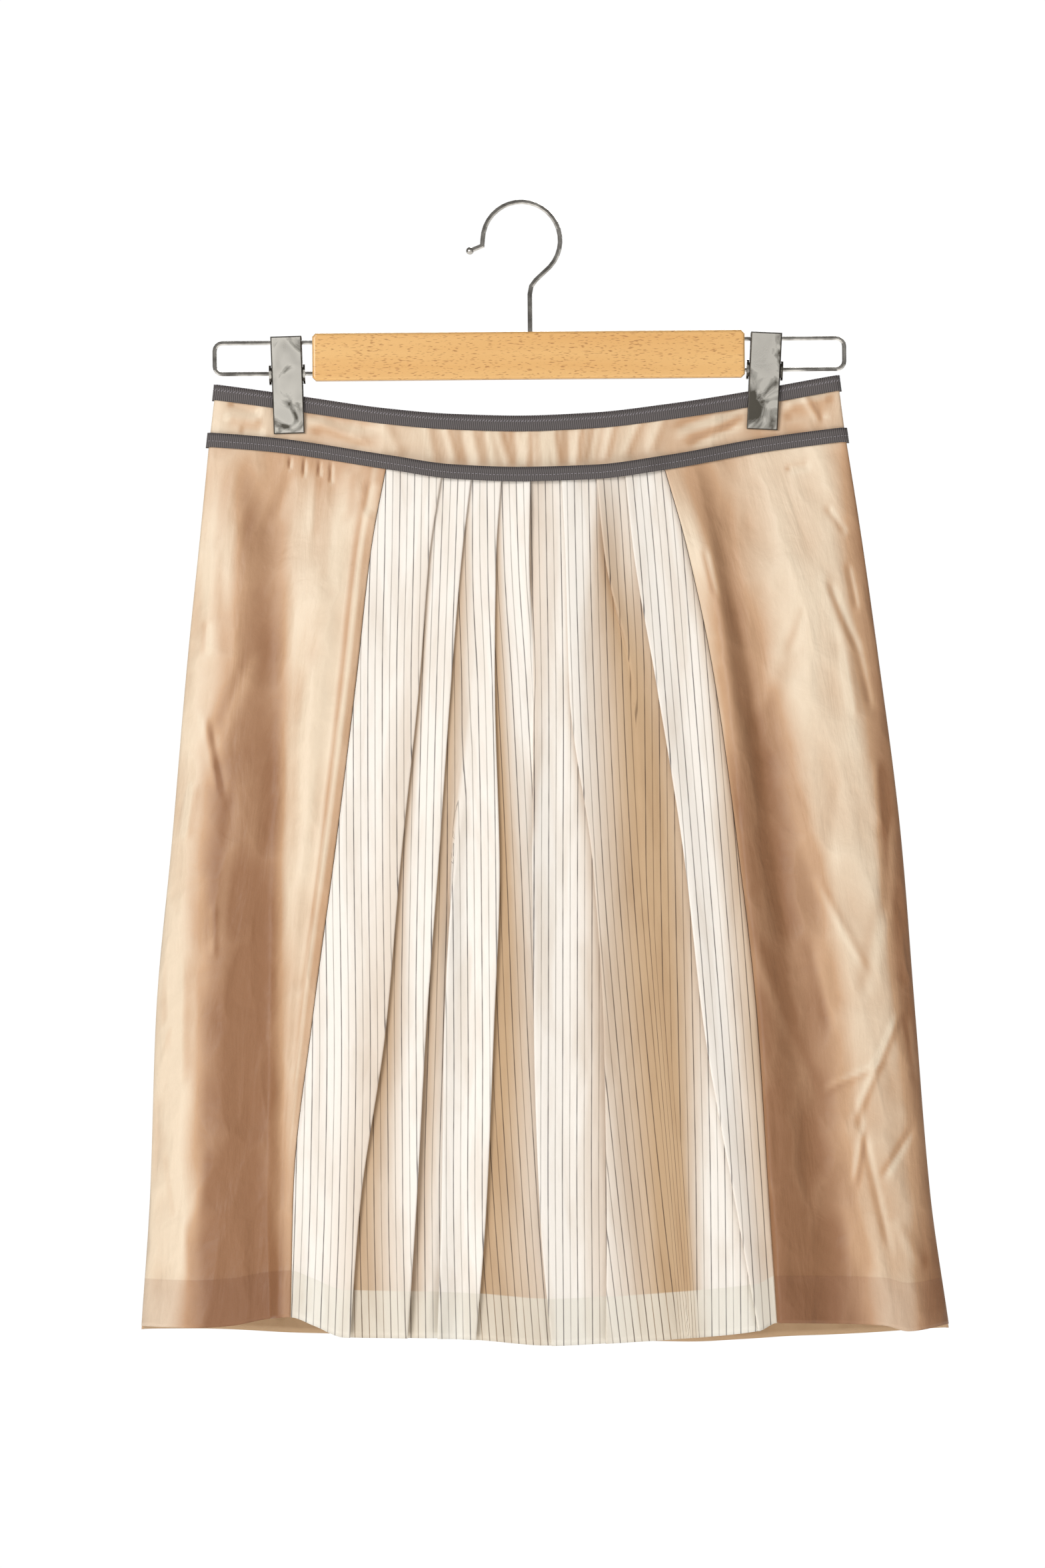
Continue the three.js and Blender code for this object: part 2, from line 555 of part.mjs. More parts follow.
const finish = (color, roughness, metalness) => {
  return new THREE.MeshStandardMaterial({ color, roughness, metalness });
};
const satin = finish('#dcb991', 0.35, 0);
const striped = finish('#efe6dc', 0.8, 0);
const grosgrain = finish('#575259', 0.7, 0);
const beech = finish('#e4b46e', 0.5, 0);
const chrome = finish('#c9c7c2', 0.18, 1);

const skirtOnHanger = new THREE.Group();

function add(name, geometry, material, parent = skirtOnHanger) {
  const mesh = new THREE.Mesh(geometry, material);
  mesh.name = name;
  parent.add(mesh);
  return mesh;
}

add('hook', hookGeometry(), chrome);
add('bar', barGeometry(), beech);
add('wire_loop_left', wireLoop(RAIL.left, -1), chrome);
add('wire_loop_right', wireLoop(RAIL.right, 1), chrome);

// Each clip hangs from the lower rail by its barrel, its two plates leaning together at the jaws
CLIPS.forEach((clip) => {
  const group = new THREE.Group();
  const barrelHalf = CLIP.width / 2 + CLEAR + BARREL.cheekWidth;
  const boreFlat = BARREL.bore * Math.cos(Math.PI / BARREL.sides);
  const tipped = barrelHalf * Math.abs(Math.sin(radians(clip.lean)));
  const barrelZ = RAIL.lower - (boreFlat - RAIL_WIRE / 2 - CLEAR - tipped);
  group.position.set(clip.x, 0, barrelZ);
  group.rotation.y = radians(clip.lean);
  skirtOnHanger.add(group);
  add(`${clip.name}_barrel`, barrelGeometry(), chrome, group);
  const slope = Math.atan2(CLIP.mouth - CLIP.jaw, CLIP.height);
  [['front', 0], ['back', Math.PI]].forEach(([side, turn]) => {
    const facing = new THREE.Group();
    facing.rotation.z = turn;
    group.add(facing);
    const plate = add(`${clip.name}_${side}`, plateGeometry(), chrome, facing);
    plate.rotation.x = Math.PI / 2 + slope;
    plate.position.set(0, -(CLIP.mouth + CLIP.jaw) / 2, CLIP.top - CLIP.height / 2 - barrelZ);
  });
});

const bandTop = (x) => waistZ(x) - BAND_DROP;
const bandFoot = (x) => panelTopZ(x) + SEAM_GAP;
const topRibbonFoot = (x) => waistZ(x) - TOP_RIBBON_WIDTH;
const lowRibbonFoot = (x) => ribbonZ(x) - LOW_RIBBON_WIDTH;

['front', 'back'].forEach((side) => {
  const lowLift = (x) => LOW_STACK + (side === 'front' ? bulge(x) : 0);
  const band = strip(side, bandTop, bandFoot, BAND_THICK, () => 0, STRIP_STEPS);
  const topRibbon = strip(side, waistZ, topRibbonFoot, RIBBON_THICK, () => STACK, STRIP_STEPS);
  const lowRibbon = strip(side, ribbonZ, lowRibbonFoot, RIBBON_THICK, lowLift, STRIP_STEPS);
  add(`waistband_${side}`, band, satin);
  add(`ribbon_top_${side}`, topRibbon, grosgrain);
  add(`ribbon_lower_${side}`, lowRibbon, grosgrain);
});

const half = SEAM_GAP / 2;
const leftSide = (share, left) => left;
const rightSide = (share, left, right) => right;
const leftOfSeam = (share) => lineAt('seamLeft', share) - half;
const rightOfSeam = (share) => lineAt('seamRight', share) + half;
const centreBack = (share, side) => mix(CENTRE_BACK[0], CENTRE_BACK[1], share) + side * half;
const rightOfBack = (share) => centreBack(share, 1);
const leftOfBack = (share) => centreBack(share, -1);

add('front_left', panel(leftSide, leftOfSeam, 'front', FRONT_STEPS, LEVELS), satin);
add('front_centre', pleatedPanel(LEVELS), striped);
add('front_right', panel(rightOfSeam, rightSide, 'front', FRONT_STEPS, LEVELS), satin);
add('back_right', panel(rightSide, rightOfBack, 'back', BACK_STEPS, LEVELS), satin);
add('back_left', panel(leftOfBack, leftSide, 'back', BACK_STEPS, LEVELS), satin);

export default skirtOnHanger;
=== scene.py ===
import math

import bpy
import numpy as np
from mathutils import Euler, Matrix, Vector


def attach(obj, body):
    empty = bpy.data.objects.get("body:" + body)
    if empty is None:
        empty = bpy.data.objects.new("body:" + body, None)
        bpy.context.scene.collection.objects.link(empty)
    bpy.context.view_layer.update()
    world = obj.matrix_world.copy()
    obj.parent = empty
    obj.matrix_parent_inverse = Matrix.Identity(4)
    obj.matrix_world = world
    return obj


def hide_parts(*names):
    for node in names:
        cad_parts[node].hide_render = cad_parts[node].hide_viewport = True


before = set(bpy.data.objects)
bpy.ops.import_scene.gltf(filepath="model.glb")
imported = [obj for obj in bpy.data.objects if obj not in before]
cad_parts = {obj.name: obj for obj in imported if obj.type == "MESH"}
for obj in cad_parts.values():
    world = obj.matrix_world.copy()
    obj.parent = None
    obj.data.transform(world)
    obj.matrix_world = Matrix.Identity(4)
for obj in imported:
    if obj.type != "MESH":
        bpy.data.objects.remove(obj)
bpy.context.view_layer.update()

# The view and the room. The skirt hangs level before a plain white ground, photographed square on with a
# long lens, the camera tipped by half a degree. Large soft lights stand to the left and, weaker, the right.
MM = 0.001
FRAME_HEIGHT = 0.8904
DISTANCE = 6.0
LOOK_AT = (-0.0020, -0.3293)
TIP = math.radians(0.49)
FLOOR = -1.6
FLOOR_SIZE = 14
LIT_POINT = Vector((0, 0, -0.33))

scene = bpy.context.scene
lens_data = bpy.data.cameras.new("camera")
lens_data.sensor_fit = "VERTICAL"
lens_data.sensor_height = 24
lens_data.lens = 24 * DISTANCE / FRAME_HEIGHT
camera = bpy.data.objects.new("camera", lens_data)
camera.location = (LOOK_AT[0], -DISTANCE, LOOK_AT[1])
upright = Euler((math.pi / 2, 0, 0)).to_matrix()
camera.rotation_euler = (upright @ Euler((0, 0, -TIP)).to_matrix()).to_euler()
scene.collection.objects.link(camera)
scene.camera = camera
scene.view_settings.view_transform = "Standard"
scene.view_settings.look = "None"


def linear(hex_colour):
    """An sRGB hex colour as linear red, green, blue and alpha."""
    parts = [int(hex_colour[i:i + 2], 16) / 255 for i in (1, 3, 5)]
    return [p / 12.92 if p <= 0.04045 else ((p + 0.055) / 1.055) ** 2.4 for p in parts] + [1.0]


def node(tree, kind, links=None, stops=(), **settings):
    """One shader node with its settings, and its inputs set to a value or linked to an output. A ramp's
    stops are places and sRGB hex colours."""
    made = tree.nodes.new("ShaderNode" + kind)
    for name, value in settings.items():
        setattr(made, name, value)
    for name, source in (links or {}).items():
        socket = made.inputs[name]
        if isinstance(source, bpy.types.NodeSocket):
            tree.links.new(source, socket)
        else:
            socket.default_value = source
    for at, (position, colour) in enumerate(stops):
        mark = made.color_ramp.elements[at] if at < 2 else made.color_ramp.elements.new(position)
        mark.position, mark.color = position, linear(colour)
    return made


def new_material(name, finish):
    """A named material, its tree and its shader, whose inputs take the values of the finish."""
    made = bpy.data.materials.new(name)
    made.use_nodes = True
    shader = made.node_tree.nodes["Principled BSDF"]
    for socket, value in finish.items():
        shader.inputs[socket].default_value = value
    return made, made.node_tree, shader


world = bpy.data.worlds.new("white_room")
world.use_nodes = True
world.node_tree.nodes.clear()
seen = node(world.node_tree, "LightPath")
ground = node(world.node_tree, "Background", {"Color": (1, 1, 1, 1), "Strength": 1.02})
ambient = node(world.node_tree, "Background", {"Color": (1, 0.985, 0.96, 1), "Strength": 0.28})
either = node(world.node_tree, "MixShader", {0: seen.outputs["Is Camera Ray"], 1: ambient.outputs[0],
                                             2: ground.outputs[0]})
node(world.node_tree, "OutputWorld", {"Surface": either.outputs[0]})
scene.world = world

SOFT_LIGHTS = {
    "key": {"at": (-1.6, -2.9, 0.5), "size": 1.3, "power": 66},
    "fill": {"at": (1.4, -3.2, 0.2), "size": 2.0, "power": 12},
    "back": {"at": (0.6, 2.6, 0.7), "size": 1.6, "power": 50},
}
for name, lamp in SOFT_LIGHTS.items():
    light_data = bpy.data.lights.new(name, "AREA")
    light_data.size = lamp["size"]
    light_data.energy = lamp["power"]
    light = bpy.data.objects.new(name, light_data)
    light.location = lamp["at"]
    light.rotation_euler = (LIT_POINT - light.location).to_track_quat("-Z", "Y").to_euler()
    scene.collection.objects.link(light)

bpy.ops.object.select_all(action="DESELECT")
bpy.ops.mesh.primitive_plane_add(size=FLOOR_SIZE, location=(0, 0, 0))
floor = bpy.context.object
floor.name = "floor"
for corner in floor.data.vertices:
    corner.co.z = FLOOR
floor.data.materials.append(new_material("matt_white_paint", {
    "Base Color": linear("#F4F3F1"), "Roughness": 0.9, "Emission Color": (1, 1, 1, 1),
    "Emission Strength": 0.55})[0])

# The hook and the two wire loops: chromed steel wire, 2.6 and 2.4 mm, bent cold. They are bright, with a
# slightly uneven plating that breaks up the reflections.
chrome_wire, tree, shader = new_material("chromed_steel_wire", {
    "Metallic": 1.0, "Roughness": 0.16})
place = node(tree, "TexCoord")
ripple = node(tree, "TexNoise", {"Vector": place.outputs["Object"], "Scale": 160.0, "Detail": 3.0})
shade = node(tree, "ValToRGB", {"Fac": ripple.outputs["Fac"]},
             stops=((0.3, "#8F8B85"), (0.7, "#D9D5CE")))
dent = node(tree, "Bump", {"Height": ripple.outputs["Fac"], "Strength": 0.12, "Distance": 0.0002})
tree.links.new(shade.outputs["Color"], shader.inputs["Base Color"])
tree.links.new(dent.outputs["Normal"], shader.inputs["Normal"])
for wire in ("hook", "wire_loop_left", "wire_loop_right"):
    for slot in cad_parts[wire].material_slots:
        slot.material = chrome_wire

# The bar: one piece of steamed beech, planed, its edges eased, under clear lacquer. Beech shows short dark
# flecks, a few millimetres long, on a warm even ground.
FLECK_LENGTH = 3.2
FLECK_HEIGHT = 0.55
beech, tree, shader = new_material("lacquered_beech", {
    "Roughness": 0.42, "Coat Weight": 0.35, "Coat Roughness": 0.2})
place = node(tree, "TexCoord")
slant = node(tree, "Mapping", {"Vector": place.outputs["Object"], "Rotation": (0, math.radians(9), 0),
                               "Scale": (1 / FLECK_LENGTH, 0.5, 1 / FLECK_HEIGHT)})
fleck = node(tree, "TexNoise", {"Vector": slant.outputs[0], "Scale": 1000.0, "Detail": 1.0})
marks = node(tree, "ValToRGB", {"Fac": fleck.outputs["Fac"]},
             stops=((0.3, "#B98A50"), (0.4, "#E7BC7A")))
long_grain = node(tree, "Mapping", {"Vector": place.outputs["Object"], "Scale": (6.0, 60.0, 130.0)})
broad = node(tree, "TexNoise", {"Vector": long_grain.outputs[0], "Scale": 1.0, "Detail": 4.0})
tone = node(tree, "ValToRGB", {"Fac": broad.outputs["Fac"]},
            stops=((0.0, "#E9D2B4"), (1.0, "#FFFFFF")))
wood = node(tree, "MixRGB", {"Fac": 1.0, "Color1": marks.outputs["Color"], "Color2": tone.outputs["Color"]},
            blend_type="MULTIPLY")
pore = node(tree, "Bump", {"Height": fleck.outputs["Fac"], "Strength": 0.15, "Distance": 0.0001})
tree.links.new(wood.outputs["Color"], shader.inputs["Base Color"])
tree.links.new(pore.outputs["Normal"], shader.inputs["Normal"])
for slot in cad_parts["bar"].material_slots:
    slot.material = beech

# The two clips: pressed steel plates, chromed, each with a raised bevel round a flat field, on a sprung
# barrel round the lower wire. The plates' colour darkens towards the right in noise patches, so the right
# clip is darker, and their bevel faces are painted dark as a painted reflection.
DARKER_TO_THE_RIGHT = -0.42
chrome_painted_dark_bevel, tree, shader = new_material("chromed_plate_painted_dark_bevel", {
    "Metallic": 1.0})
place = node(tree, "TexCoord")
patches = node(tree, "TexNoise", {"Vector": place.outputs["Object"], "Scale": 55.0, "Detail": 6.0,
                                "Distortion": 1.2})
# The colour darkens towards the right, broken up by noise patches.
position_parts = node(tree, "SeparateXYZ", {0: node(tree, "NewGeometry").outputs["Position"]})
darkening = node(tree, "Math", {0: position_parts.outputs[0], 1: DARKER_TO_THE_RIGHT, 2: patches.outputs["Fac"]},
            operation="MULTIPLY_ADD")
shade = node(tree, "ValToRGB", {"Fac": darkening.outputs[0]},
             stops=((0.36, "#5B574F"), (0.5, "#DAD6CD")))
# Painted reflection: the bevel faces, which turn away from the front, are painted dark.
facing_y = node(tree, "SeparateXYZ", {0: node(tree, "NewGeometry").outputs["True Normal"]})
flatness = node(tree, "Math", {0: facing_y.outputs[1]}, operation="ABSOLUTE")
bevel_painted_dark = node(tree, "MapRange", {"Value": flatness.outputs[0], "From Min": 0.93, "From Max": 0.99,
                                "To Min": 1.0, "To Max": 0.0})
shade = node(tree, "MixRGB", {"Fac": bevel_painted_dark.outputs[0], "Color1": shade.outputs["Color"],
                              "Color2": linear("#4E4A44")})
dulled = node(tree, "MapRange", {"Value": patches.outputs["Fac"], "To Min": 0.42, "To Max": 0.2})
tree.links.new(shade.outputs["Color"], shader.inputs["Base Color"])
tree.links.new(dulled.outputs[0], shader.inputs["Roughness"])
for clip in ("clip_left", "clip_right"):
    for part in ("front", "back", "barrel"):
        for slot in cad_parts[f"{clip}_{part}"].material_slots:
            slot.material = chrome_painted_dark_bevel

# The cloth's form. Every wall hangs on the same lines as its solid: sections across the skirt, from the
# ribbon to the hem, whose rows give x in millimetres at these shares of the way down.
SHARES = np.array([0, 0.1, 0.25, 0.45, 0.65, 0.85, 1])
LINES = {
    "side_left": [-178.3, -183.6, -191.9, -201.4, -211.4, -215.6, -221.2],
    "seam_left": [-77.2, -86.5, -95.4, -108.3, -121.9, -133.4, -135.6],
    "seam_right": [79.2, 92.2, 106.7, 119.5, 129.7, 135.1, 139.3],
    "side_right": [183.2, 190.8, 200.9, 212.9, 220.2, 227.7, 237.6],
}
WAIST = {
    "x": [-176, -142, -120, -76, -40, 0, 40, 82, 126, 142, 180],
    "waist": [-100.7, -105.6, -109, -115.7, -119, -120.3, -118.9, -114.4, -107.8, -105, -98.4],
    "ribbon": [-128.4, -131.5, -134.6, -142.2, -147.8, -149.6, -148.7, -143.4, -135.6, -133.2, -128.6],
}
HEM = {
    "x": [-221, -190, -170, -150, -136, -122, -105, -50, -30, 12, 44, 90, 128, 139, 168, 200, 214, 238],
    "front": [-635, -635.5, -634.5, -631, -629.5, -634.5, -641, -642, -643, -646.5, -645.5, -643, -639.5,
              -635, -636, -637.5, -641, -637.5],
    "back": [-637, -638, -639, -640, -640.7, -641.5, -642.5, -645, -646, -647.5, -648, -648, -647, -646.5,
             -645, -643, -642, -640],
}
BODY = {"drop": [0, 30, 110, 250, 400, 540], "half": [6, 8.5, 15, 24, 31, 36]}
CLIPS_AT = (-133.6, 137.6)
TOP_RIBBON_WIDTH = 9
LOW_RIBBON_WIDTH = 8.2
HEM_DEPTH = 26
PANEL_HEIGHT = 490
BACK_DROP = 0.5
NIP = 1.05
NIP_REACH = (24, 120)
BELL = (11, 60)
WALL = 0.8

# The largest soft folds of the front satin: lines down each panel, as x at the shares, and how far the
# cloth stands out there, in mm. Each panel has a crest, a deep trough and a crest beside its seam's edge.
LEFT_WAVE = [
    {"x": LINES["side_left"], "out": [0, 0, 0, 0, 0, 0, 0]},
    {"x": [-168, -168, -176, -187, -191, -197, -201], "out": [0, 2, 4, 4.5, 5, 5, 5]},
    {"x": [-150, -146, -144, -146, -147, -149, -147.5], "out": [0, -2.5, -6, -7.5, -8.5, -8.5, -8.5]},
    {"x": [-100, -112, -120, -126.5, -134.5, -140, -142.5], "out": [0, 1.8, 3.2, 2.2, 0.6, 0, 0]},
    {"x": [-88.7, -98, -106.9, -119.8, -130.9, -138.4, -140.8], "out": [0, 0.7, 1.4, 1, 0.2, -0.2, -0.2]},
    {"x": [-84.2, -93.5, -102.4, -115.3, -128.9, -137.8, -140.2], "out": [0, 1.3, 2, 1.7, 1, 0.3, 0.3]},
    {"x": LINES["seam_left"], "out": [0, 0, 0, 0, 0, 0, 0]},
]
RIGHT_WAVE = [
    {"x": LINES["seam_right"], "out": [0, 0, 0, 0, 0, 0, 0]},
    {"x": [91.2, 103.2, 114.7, 123, 132.2, 137.6, 141.8], "out": [0, 2.4, 4.5, 3.5, 2.5, 2.5, 2.5]},
    {"x": [108, 113, 128, 141, 157, 169, 178], "out": [0, -1.5, -4.5, -6, -7.5, -8.5, -8.5]},
    {"x": [165, 174, 182, 193, 201, 208, 216], "out": [0, 3, 5, 5, 4, 3, 3]},
    {"x": LINES["side_right"], "out": [0, 0, 0, 0, 0, 0, 0]},
]
BACK_FOLDS = [
    (-140, -178, 18, [0, 1.5, 3.5, 6, 8, 9, 9]), (-104, -136, 17, [0, -1.5, -4, -6, -7, -8, -8]),
    (-62, -86, 18, [0, 1.5, 4, 7, 9, 10, 10]), (-24, -38, 16, [0, -1, -3, -5, -6, -6, -6]),
    (34, 46, 18, [0, 1.5, 4, 6, 8, 9, 9]), (72, 94, 17, [0, -1.5, -4, -7, -8, -9, -9]),
    (110, 146, 19, [0, 1.5, 4, 7, 9, 9, 9]), (146, 196, 16, [0, -1, -3, -4, -5, -5, -5]),
]


def smooth(t):
    """A soft step from 0 to 1."""
    t = np.clip(t, 0, 1)
    return t * t * (3 - 2 * t)


def follow(places, values, at):
    """The value at a place in a short table, through its rows by a smooth curve that doesn't overshoot."""
    places, values = np.asarray(places, float), np.asarray(values, float)
    at = np.clip(at, places[0], places[-1])
    i = np.clip(np.searchsorted(places, at, side="left") - 1, 0, len(places) - 2)
    rise = np.diff(values) / np.diff(places)
    product = rise[:-1] * rise[1:]
    inner = np.where(product > 0, 2 * product / np.where(product > 0, rise[:-1] + rise[1:], 1), 0)
    slope = np.concatenate([[rise[0]], inner, [rise[-1]]])
    span = places[i + 1] - places[i]
    t = (at - places[i]) / span
    blend = smooth(t)
    return (values[i] * (1 - blend) + values[i + 1] * blend
            + span * (slope[i] * t * (1 - t) ** 2 - slope[i + 1] * t * t * (1 - t)))


def between(lines, what, x, share):
    """A quality of the cloth at x, from the lines down it that state that quality at the shares."""
    places = [float(follow(SHARES, line["x"], share)) for line in lines]
    return follow(places, [float(follow(SHARES, line[what], share)) for line in lines], x)


def line_at(name, share):
    return float(follow(SHARES, LINES[name], share))


def waist_z(x):
    return follow(WAIST["x"], WAIST["waist"], x)


def ribbon_z(x):
    return follow(WAIST["x"], WAIST["ribbon"], x)


def panel_top_z(x):
    return ribbon_z(x) - LOW_RIBBON_WIDTH / 2 - 0.15


def panel_z(x, share, side):
    """Height of a panel's points by their x and the share of the way down."""
    drop = BACK_DROP * (1 - share) if side == "back" else 0
    return panel_top_z(x) * (1 - share) + follow(HEM["x"], HEM[side], x) * share - drop


def sides_at(share):
    return line_at("side_left", share) + 0.5, line_at("side_right", share) - 0.5


def back_swell(x, share):
    """How far the soft folds behind stand out at x, in mm."""
    return sum(follow(SHARES, height, share) * np.exp(-(((x - top - (foot - top) * share) / width) ** 2))
               for top, foot, width, height in BACK_FOLDS)


def reach(x, z, share, side, ends=None):
    """Distance of the cloth from the middle plane of the skirt."""
    left, right = ends or sides_at(share)
    across = np.minimum(1, np.abs((2 * x - left - right) / (right - left)))
    drop = waist_z(x) - z
    full = follow(BODY["drop"], BODY["half"], drop) * (1 - across ** 2.6) ** 0.5
    pinch = np.max([1 - smooth((np.abs(x - clip) - BELL[0]) / (BELL[1] - BELL[0])) for clip in CLIPS_AT],
                   axis=0)
    held = pinch * (1 - smooth((drop - NIP_REACH[0]) / (NIP_REACH[1] - NIP_REACH[0])))
    near = np.maximum(0, 1 - np.minimum(x - left, right - x) / NIP)
    edge = NIP * np.sqrt(np.maximum(0, 1 - near * near))
    if side == "front":
        swell = between(LEFT_WAVE, "out", x, share) + between(RIGHT_WAVE, "out", x, share)
    else:
        swell = back_swell(x, share)
    return np.hypot(full, edge) * (1 - held) + edge * held + swell * np.minimum(1, 3 * (1 - across))


def creased(x, z, creases):
    """Sum of soft troughs and ridges, each along a line from its top to its foot, fading at both ends."""
    total = np.zeros_like(x)
    for x0, z0, x1, z1, width, height in creases:
        length = math.hypot(x1 - x0, z1 - z0)
        along = ((x - x0) * (x1 - x0) + (z - z0) * (z1 - z0)) / length ** 2
        aside = ((x - x0) * (z1 - z0) - (z - z0) * (x1 - x0)) / length
        ends = smooth(along / 0.3 + 0.5) * smooth((1 - along) / 0.3 + 0.5)
        total += height * np.exp(-((aside / width) ** 2)) * ends
    return total


def outward(xy, first_out=None, last_out=None):
    """The way out of the cloth along one section, square to the line through each point's neighbours."""
    run = np.empty_like(xy)
    run[1:-1] = xy[2:] - xy[:-2]
    run[0], run[-1] = xy[1] - xy[0], xy[-1] - xy[-2]
    out = np.stack([run[:, 1], -run[:, 0]], axis=1)
    out /= np.linalg.norm(out, axis=1, keepdims=True)
    if first_out is not None:
        out[0] = first_out
    if last_out is not None:
        out[-1] = last_out
    return out


def laid(name, mesh, material):
    """The piece of cloth or thread that a mesh makes, put in the scene."""
    mesh.polygons.foreach_set("use_smooth", np.ones(len(mesh.polygons), bool))
    mesh.materials.append(material)
    piece = bpy.data.objects.new(name, mesh)
    scene.collection.objects.link(piece)
    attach(piece, "root")
    return piece


def cloth(name, rows, outs, uvs, inner, material, marks=None):
    """A thin closed cloth wall through rows of points in mm, its outer face half a wall outside them."""
    levels, count = rows.shape[:2]
    shell = np.empty((levels, count, 2, 3))
    for face, off in ((0, np.full((levels, 1), WALL / 2)), (1, -np.asarray(inner).reshape(levels, 1))):
        shell[:, :, face, :2] = rows[:, :, :2] + outs * off[..., None]
        shell[:, :, face, 2] = rows[:, :, 2]
    at = np.arange(levels * count * 2).reshape(levels, count, 2)
    a, b, c, d = at[:-1, :-1], at[1:, :-1], at[1:, 1:], at[:-1, 1:]
    quads = [
        np.stack([a[..., 0], b[..., 0], c[..., 0], d[..., 0]], -1).reshape(-1, 4),
        np.stack([a[..., 1], d[..., 1], c[..., 1], b[..., 1]], -1).reshape(-1, 4),
        np.stack([at[:-1, 0, 1], at[1:, 0, 1], at[1:, 0, 0], at[:-1, 0, 0]], -1),
        np.stack([at[:-1, -1, 0], at[1:, -1, 0], at[1:, -1, 1], at[:-1, -1, 1]], -1),
        np.stack([at[0, :-1, 1], at[0, :-1, 0], at[0, 1:, 0], at[0, 1:, 1]], -1),
        np.stack([at[-1, :-1, 0], at[-1, :-1, 1], at[-1, 1:, 1], at[-1, 1:, 0]], -1),
    ]
    faces = np.concatenate(quads)
    mesh = bpy.data.meshes.new(name)
    mesh.from_pydata((shell.reshape(-1, 3) * MM).tolist(), [], faces.tolist())
    layer = mesh.uv_layers.new(name="cut")
    per_point = np.repeat(uvs.reshape(-1, 2), 2, axis=0) * MM
    loops = np.empty(len(mesh.loops), int)
    mesh.loops.foreach_get("vertex_index", loops)
    layer.data.foreach_set("uv", per_point[loops].ravel())
    inside = mesh.attributes.new("inside", "FLOAT", "POINT")
    inside.data.foreach_set("value", np.tile([0.0, 1.0], levels * count))
    for mark, values in (marks or {}).items():
        on_points = mesh.attributes.new(mark, "FLOAT", "POINT")
        on_points.data.foreach_set("value", np.repeat(values.ravel(), 2))
    return laid(name, mesh, material)


def spread(start, stop, left, right, steps):
    """x from start to stop, closer together towards the sides."""
    turn = [math.acos(max(-1, min(1, (2 * x - left - right) / (left - right)))) for x in (start, stop)]
    angles = np.linspace(turn[0], turn[1], steps + 1)
    return (left + right) / 2 + (left - right) / 2 * np.cos(angles)


def run_length(xy):
    """Distance along a section from its first point, in mm."""
    return np.concatenate([[0], np.cumsum(np.linalg.norm(np.diff(xy, axis=0), axis=1))])


# The satin: heavy polyester satin-back cloth in tan, matt side in. The floats give a broad soft sheen, with
# fine unpressed wrinkles all over. Painted shade in its colour makes it pale where it faces the light and
# brown in the troughs and in the hollows of the wrinkles.
THREAD = 0.45
MIDDLE_HEIGHT = 0.76
SHADE_BY_HEIGHT = -0.4
tan_satin, tree, shader = new_material("tan_duchesse_satin", {
    "Roughness": 0.5, "Specular IOR Level": 0.4, "Sheen Weight": 0.15, "Sheen Roughness": 0.4,
    "Sheen Tint": linear("#FFF1DF")})
cut = node(tree, "UVMap", uv_map="cut")
threads = node(tree, "Mapping", {"Vector": cut.outputs[0],
                                 "Scale": (1000 / THREAD, 1000 / (4 * THREAD), 1)})
weave = node(tree, "TexNoise", {"Vector": threads.outputs[0], "Scale": 1.0, "Detail": 2.0})
crumple = node(tree, "TexNoise", {"Vector": cut.outputs[0], "Scale": 60.0, "Detail": 5.0,
                                  "Distortion": 0.6})
long_pull = node(tree, "Mapping", {"Vector": cut.outputs[0], "Rotation": (0, 0, math.radians(-14)),
                                   "Scale": (52.0, 12.0, 1)})
pull = node(tree, "TexNoise", {"Vector": long_pull.outputs[0], "Scale": 1.0, "Detail": 4.0,
                               "Distortion": 0.5})
slanting = node(tree, "Mapping", {"Vector": cut.outputs[0], "Rotation": (0, 0, math.radians(-38)),
                                  "Scale": (60.0, 24.0, 1)})
warp = node(tree, "TexNoise", {"Vector": cut.outputs[0], "Scale": 30.0, "Detail": 3.0})
bent = node(tree, "MixRGB", {"Fac": 0.8, "Color1": slanting.outputs[0], "Color2": warp.outputs["Color"]},
            blend_type="ADD")
facets = node(tree, "TexVoronoi", {"Vector": bent.outputs["Color"], "Scale": 1.0, "Smoothness": 0.2},
              feature="SMOOTH_F1")
heights = node(tree, "Math", {0: crumple.outputs["Fac"], 1: 0.2}, operation="MULTIPLY")
heights = node(tree, "Math", {0: pull.outputs["Fac"], 1: 0.7, 2: heights.outputs[0]},
               operation="MULTIPLY_ADD")
heights = node(tree, "Math", {0: facets.outputs["Distance"], 1: 0.7, 2: heights.outputs[0]},
               operation="MULTIPLY_ADD")
soft = node(tree, "Bump", {"Height": heights.outputs[0], "Strength": 1.0, "Distance": 0.0032})
fine = node(tree, "Bump", {"Height": weave.outputs["Fac"], "Strength": 0.22, "Distance": 0.00012,
                           "Normal": soft.outputs["Normal"]})
# Painted shade: the listed shade, and more in the hollows of the wrinkles, darkens the satin towards brown.
painted_shade_attribute = node(tree, "Attribute", attribute_name="deep")
painted_shade_amount = node(tree, "Math", {0: heights.outputs[0], 1: -MIDDLE_HEIGHT}, operation="ADD")
painted_shade_amount = node(tree, "Math", {0: painted_shade_amount.outputs[0], 1: SHADE_BY_HEIGHT, 2: painted_shade_attribute.outputs["Fac"]},
                operation="MULTIPLY_ADD")
painted_shade_ramp = node(tree, "ValToRGB", {"Fac": painted_shade_amount.outputs[0]},
              stops=((0.0, "#E3CFB5"), (0.5, "#C39C79"), (1.0, "#936847")))
turned_up = node(tree, "Attribute", attribute_name="double")
hem_tone = node(tree, "MixRGB", {"Fac": turned_up.outputs["Fac"], "Color1": (1, 1, 1, 1),
                                 "Color2": linear("#EEE9E8")})
